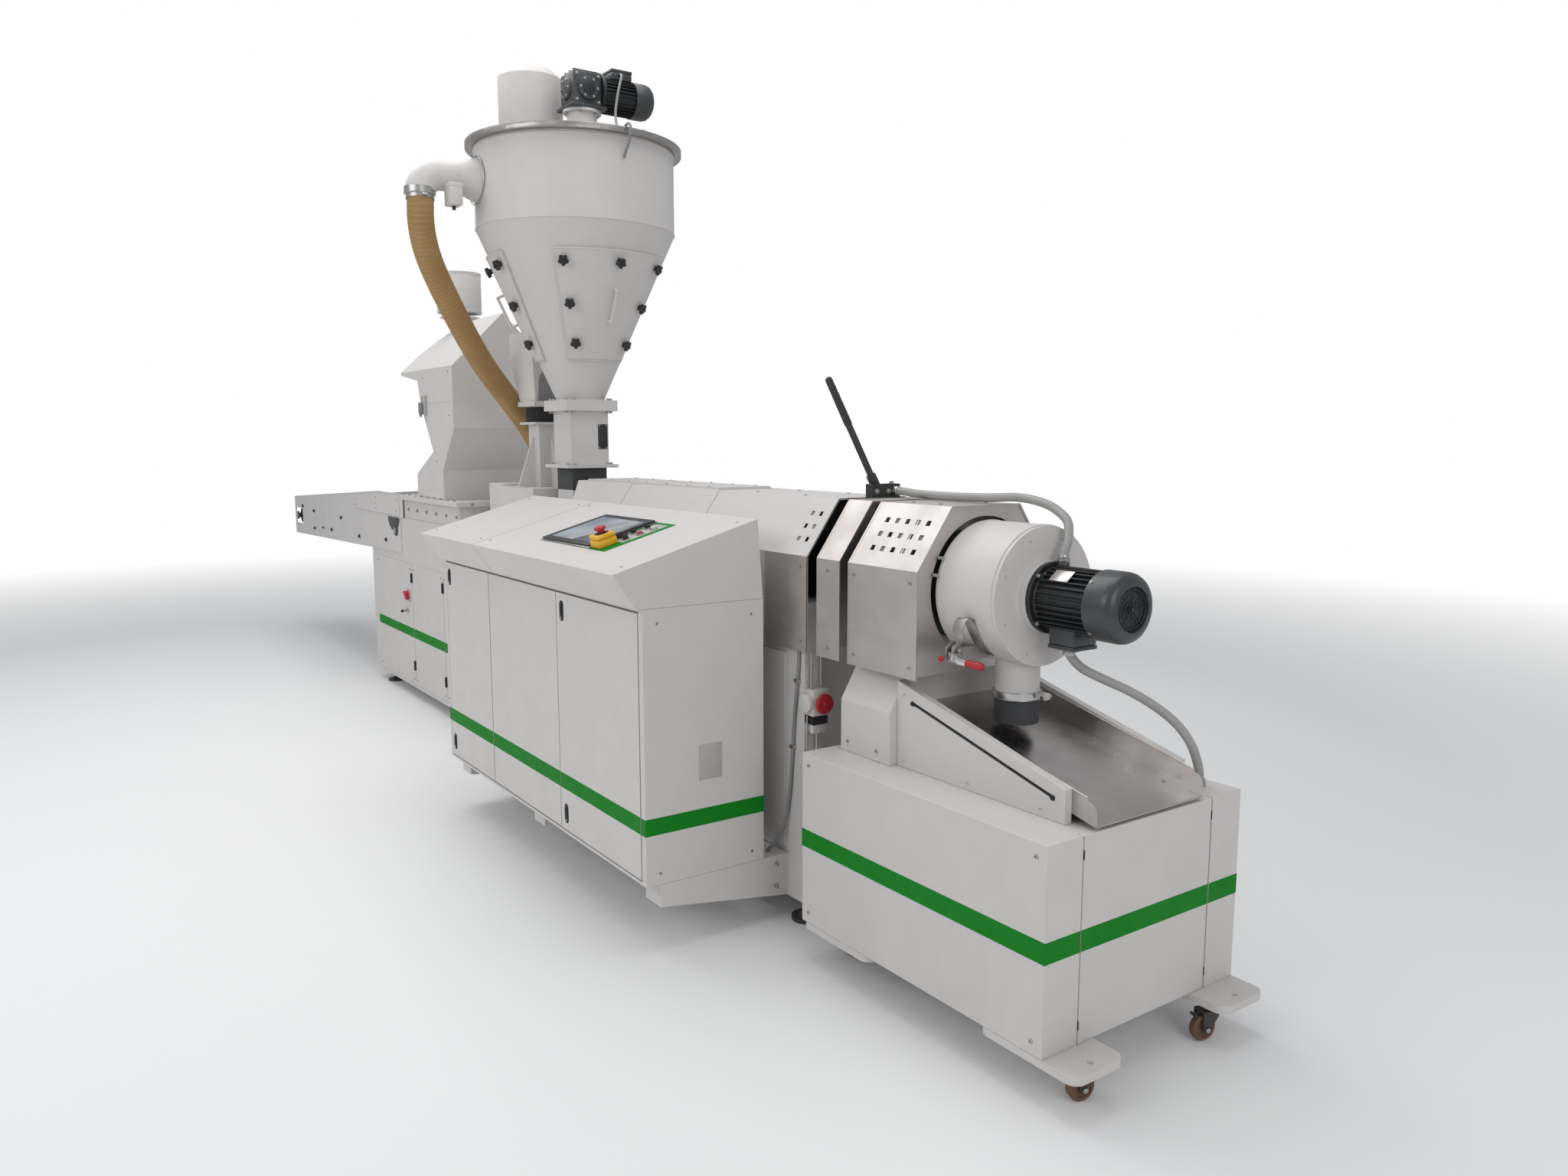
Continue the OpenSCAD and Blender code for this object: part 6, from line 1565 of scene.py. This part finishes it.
class PELLETIZER_OT_agitator(bpy.types.Operator):
    """Agitator drive: pedestal, bolted gearbox, finned motor with its fan cover, box and blue cap"""

    bl_idname = "pelletizer.agitator"
    bl_label = "Agitator drive"

    def execute(self, context):
        gear, base = 0.075, 0.165
        mid = AGITATOR + Z * (base + 0.016 + gear)
        bm = bmesh.new()
        lathe(bm, [(0, 0.0002), (0.100, 0.0002), (0.100, 0.0118), (0.0725, 0.0118), (0.0700, 0.0160),
                   (0.0700, base - 0.0125), (0.090, base - 0.0125), (0.090, base), (0, base), (0, 0.0002)],
              AGITATOR, Z, 72, slot=1)
        for k in range(6):
            a = math.tau * (k + 0.5) / 6
            bolt(bm, AGITATOR + Vector((0.086 * math.cos(a), 0.086 * math.sin(a), 0.0118)), Z, 0.013, slot=2)
            bolt(bm, AGITATOR + Vector((0.080 * math.cos(a), 0.080 * math.sin(a), base - 0.0125)), -Z, 0.010, slot=2)
        box(bm, AGITATOR + Vector((-0.090, -0.090, base + 0.0005)), AGITATOR + Vector((0.090, 0.090, base + 0.016)),
            0.003)
        box(bm, mid - Vector((gear, gear, gear)), mid + Vector((gear, gear - 0.004, gear)), 0.009)
        for s in SIDES:
            rod(bm, mid + X * s * (gear - 0.002), mid + X * s * (gear + 0.012), 0.056, 0.052, sides=48, bevel=0.003)
            rod(bm, mid + X * s * (gear + 0.011), mid + X * s * (gear + 0.0145), 0.030, sides=36, bevel=0.002, slot=3)
            for k in range(6):
                a = math.tau * k / 6
                bolt(bm, mid + Vector((s * (gear + 0.0118), 0.043 * math.cos(a), 0.043 * math.sin(a))), (s, 0, 0),
                     0.009, slot=2)
            for dy in (-0.058, 0.052):
                for dz in (-0.058, 0.058):
                    bolt(bm, mid + Vector((s * (gear - 0.0005), dy, dz)), (s, 0, 0), 0.011, slot=2)
        rod(bm, mid - Y * (gear - 0.002), mid - Y * (gear + 0.010), 0.052, 0.048, sides=44, bevel=0.003)
        for k in range(6):
            a = math.tau * k / 6
            bolt(bm, mid + Vector((0.040 * math.cos(a), -gear - 0.0098, 0.040 * math.sin(a))), -Y, 0.009, slot=2)
        for dx in (-0.045, 0.0, 0.045):
            box(bm, mid + Vector((dx - 0.004, -gear + 0.012, gear - 0.004)),
                mid + Vector((dx + 0.004, gear - 0.014, gear + 0.012)), 0.0015)
        start = mid + Y * gear
        body = [(0, -0.004), (0.0965, -0.004), (0.0965, 0.012), (0.0780, 0.016), (0.0700, 0.022), (0.0700, 0.190),
                (0, 0.190), (0, -0.004)]
        lathe(bm, body, start, Y, 72, slot=3)
        for k in range(26):
            turn = Matrix.Translation(start) @ Matrix.Rotation(math.tau * k / 26, 4, "Y")
            box(bm, (-0.0016, 0.020, 0.068), (0.0016, 0.188, 0.0815), 0.0006, slot=3, at=turn)
        cover = [(0.066, 0.180), (0.0835, 0.180), (0.0848, 0.183), (0.0848, 0.245), (0.0800, 0.264), (0.0680, 0.278),
                 (0.0560, 0.2850), (0.0520, 0.2830), (0.0510, 0.272), (0, 0.272), (0, 0.186), (0.066, 0.186),
                 (0.066, 0.180)]
        lathe(bm, cover, start, Y, 72, slot=0)
        for k in range(3):
            ring(bm, start + Y * 0.280, Y, 0.014 + 0.014 * k, 0.0015, 40, slot=3)
        for k in range(6):
            turn = Matrix.Translation(start) @ Matrix.Rotation(math.tau * k / 6, 4, "Y")
            box(bm, (-0.0014, 0.2785, 0), (0.0014, 0.2810, 0.0515), slot=3, at=turn)
        top = mid.z + 0.085
        box(bm, (AGITATOR.x - 0.048, start.y + 0.062, top - 0.012), (AGITATOR.x + 0.048, start.y + 0.168, top + 0.020),
            0.003)
        box(bm, (AGITATOR.x - 0.050, start.y + 0.060, top + 0.0205), (AGITATOR.x + 0.050, start.y + 0.170,
                                                                       top + 0.0355), 0.004)
        for dx in (-0.041, 0.041):
            for dy in (0.069, 0.161):
                screw(bm, (AGITATOR.x + dx, start.y + dy, top + 0.0355), Z, 0.007, slot=2, socket=3)
        rod(bm, (AGITATOR.x + 0.048, 0.200, 3.378), (AGITATOR.x + 0.030, 0.200, 3.378), 0.0105, sides=6, slot=2)
        drive = finished("agitator_cast", bm, ["motor_grey", "white_paint", "zinc", "fin_black"], angle=32)
        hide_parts("agitator_drive")
        bm = bmesh.new()
        cap = [(0, 0), (0.040, 0), (0.044, 0.006), (0.044, 0.040), (0.038, 0.052), (0.022, 0.058), (0, 0.060)]
        lathe(bm, cap, (AGITATOR.x + 0.02, AGITATOR.y + 0.190, LID_Z + 0.0003), Z, 48)
        finished("blue_cap", bm, ["cap_blue"], angle=50)
        return {"FINISHED"}


# STAGE


class PELLETIZER_OT_camera(bpy.types.Operator):
    """Places the camera as the picture was taken"""

    bl_idname = "pelletizer.camera"
    bl_label = "Camera"

    def execute(self, context):
        v = values().camera
        camera = bpy.data.objects.new("Camera", bpy.data.cameras.new("Camera"))
        context.scene.collection.objects.link(camera)
        camera.data.sensor_width = 36
        camera.data.lens = v.lens
        camera.data.clip_end = 60
        camera.location = v.position
        camera.rotation_euler = (math.pi / 2 - v.pitch, 0, v.heading)
        context.scene.camera = camera
        return {"FINISHED"}


class PELLETIZER_OT_stage(bpy.types.Operator):
    """Pale floor, soft lights and a white background"""

    bl_idname = "pelletizer.stage"
    bl_label = "Stage"

    def execute(self, context):
        v = values().light
        scene = context.scene
        t, shader, wear = new_finish("floor")
        shade(t, shader, Base_Color=tuple(v.floor), Roughness=0.75)
        reach = t.add("ShaderNodeVectorMath", {"operation": "LENGTH"}, Vector=t.place()).outputs["Value"]
        fade = t.tree.nodes.new("ShaderNodeMixShader")
        t.feed(fade.inputs[0], t.span(reach, 5.0, 11.0))
        t.tree.links.new(shader.outputs[0], fade.inputs[1])
        t.tree.links.new(t.add("ShaderNodeBsdfTransparent").outputs[0], fade.inputs[2])
        t.tree.links.new(fade.outputs[0], t.tree.nodes["Material Output"].inputs["Surface"])
        bm = bmesh.new()
        bmesh.ops.create_grid(bm, x_segments=1, y_segments=1, size=40)
        mesh = bpy.data.meshes.new("floor")
        bm.to_mesh(mesh)
        bm.free()
        mesh.materials.append(bpy.data.materials["floor"])
        floor = bpy.data.objects.new("floor", mesh)
        scene.collection.objects.link(floor)
        for name, power, size, place, aim in (
            ("key_light", v.key, (4.5, 3.0), (2.5, -6.0, 4.2), (0.8, 0.0, 1.0)),
            ("end_light", v.end, (2.5, 2.5), (8.5, -0.8, 3.0), (3.6, 0.2, 0.9)),
            ("top_light", v.top, (8.0, 2.6), (0.5, 0.3, 5.6), (0.5, 0.2, 0.0)),
            ("back_light", v.back, (3.5, 3.5), (-1.6, -2.0, 6.4), (3.3, 0.2, 1.4)),
        ):
            data = bpy.data.lights.new(name, "AREA")
            data.energy = power
            data.shape = "RECTANGLE"
            data.size, data.size_y = size
            light = bpy.data.objects.new(name, data)
            light.location = place
            light.rotation_euler = (Vector(aim) - Vector(place)).to_track_quat("-Z", "Y").to_euler()
            scene.collection.objects.link(light)
        world = bpy.data.worlds.new("World")
        scene.world = world
        world.use_nodes = True
        world.node_tree.nodes.clear()
        t = Tree(world.node_tree)
        path = t.add("ShaderNodeLightPath").outputs["Is Camera Ray"]
        sky = t.add("ShaderNodeBackground", Color=(0.95, 0.97, 1.0), Strength=v.sky)
        plain = t.add("ShaderNodeBackground", Color=(1.0, 1.0, 1.0), Strength=1.0)
        both = t.tree.nodes.new("ShaderNodeMixShader")
        t.feed(both.inputs[0], path)
        t.tree.links.new(sky.outputs[0], both.inputs[1])
        t.tree.links.new(plain.outputs[0], both.inputs[2])
        t.tree.links.new(both.outputs[0], t.add("ShaderNodeOutputWorld").inputs["Surface"])
        scene.view_settings.view_transform = "Standard"
        return {"FINISHED"}


class PELLETIZER_PT_machine(bpy.types.Panel):
    """Values of the machine and the steps that build it"""

    bl_label = "Pelletizing Machine"
    bl_idname = "PELLETIZER_PT_machine"
    bl_space_type = "VIEW_3D"
    bl_region_type = "UI"
    bl_category = "Pelletizer"

    def draw(self, context):
        machine = context.scene.pelletizer
        for group in ("camera", "light", "paint", "steel", "fasteners", "hose", "motor"):
            owner = getattr(machine, group)
            column = self.layout.box().column()
            column.label(text=group.title())
            for name in owner.__annotations__:
                column.prop(owner, name)
        for step in STEPS:
            self.layout.operator(step.bl_idname)


GROUPS = (CameraValues, LightValues, PaintValues, SteelValues, FastenerValues, HoseValues, MotorValues, MachineValues)
STEPS = (
    PELLETIZER_OT_camera, PELLETIZER_OT_finishes, PELLETIZER_OT_hose, PELLETIZER_OT_conduits, PELLETIZER_OT_edges,
    PELLETIZER_OT_trolley, PELLETIZER_OT_casters, PELLETIZER_OT_chute, PELLETIZER_OT_cutter, PELLETIZER_OT_motor,
    PELLETIZER_OT_toggle, PELLETIZER_OT_guards, PELLETIZER_OT_lever, PELLETIZER_OT_cabinet, PELLETIZER_OT_console,
    PELLETIZER_OT_stop, PELLETIZER_OT_base, PELLETIZER_OT_valve, PELLETIZER_OT_shredder, PELLETIZER_OT_conveyor,
    PELLETIZER_OT_hopper, PELLETIZER_OT_inlet, PELLETIZER_OT_agitator, PELLETIZER_OT_stage,
)


def register():
    for cls in (*GROUPS, *STEPS, PELLETIZER_PT_machine):
        bpy.utils.register_class(cls)
    bpy.types.Scene.pelletizer = PointerProperty(type=MachineValues)


def unregister():
    del bpy.types.Scene.pelletizer
    for cls in reversed((*GROUPS, *STEPS, PELLETIZER_PT_machine)):
        bpy.utils.unregister_class(cls)


def main():
    register()
    for step in STEPS:
        group, name = step.bl_idname.split(".")
        getattr(getattr(bpy.ops, group), name)()


if __name__ == "__main__":
    main()
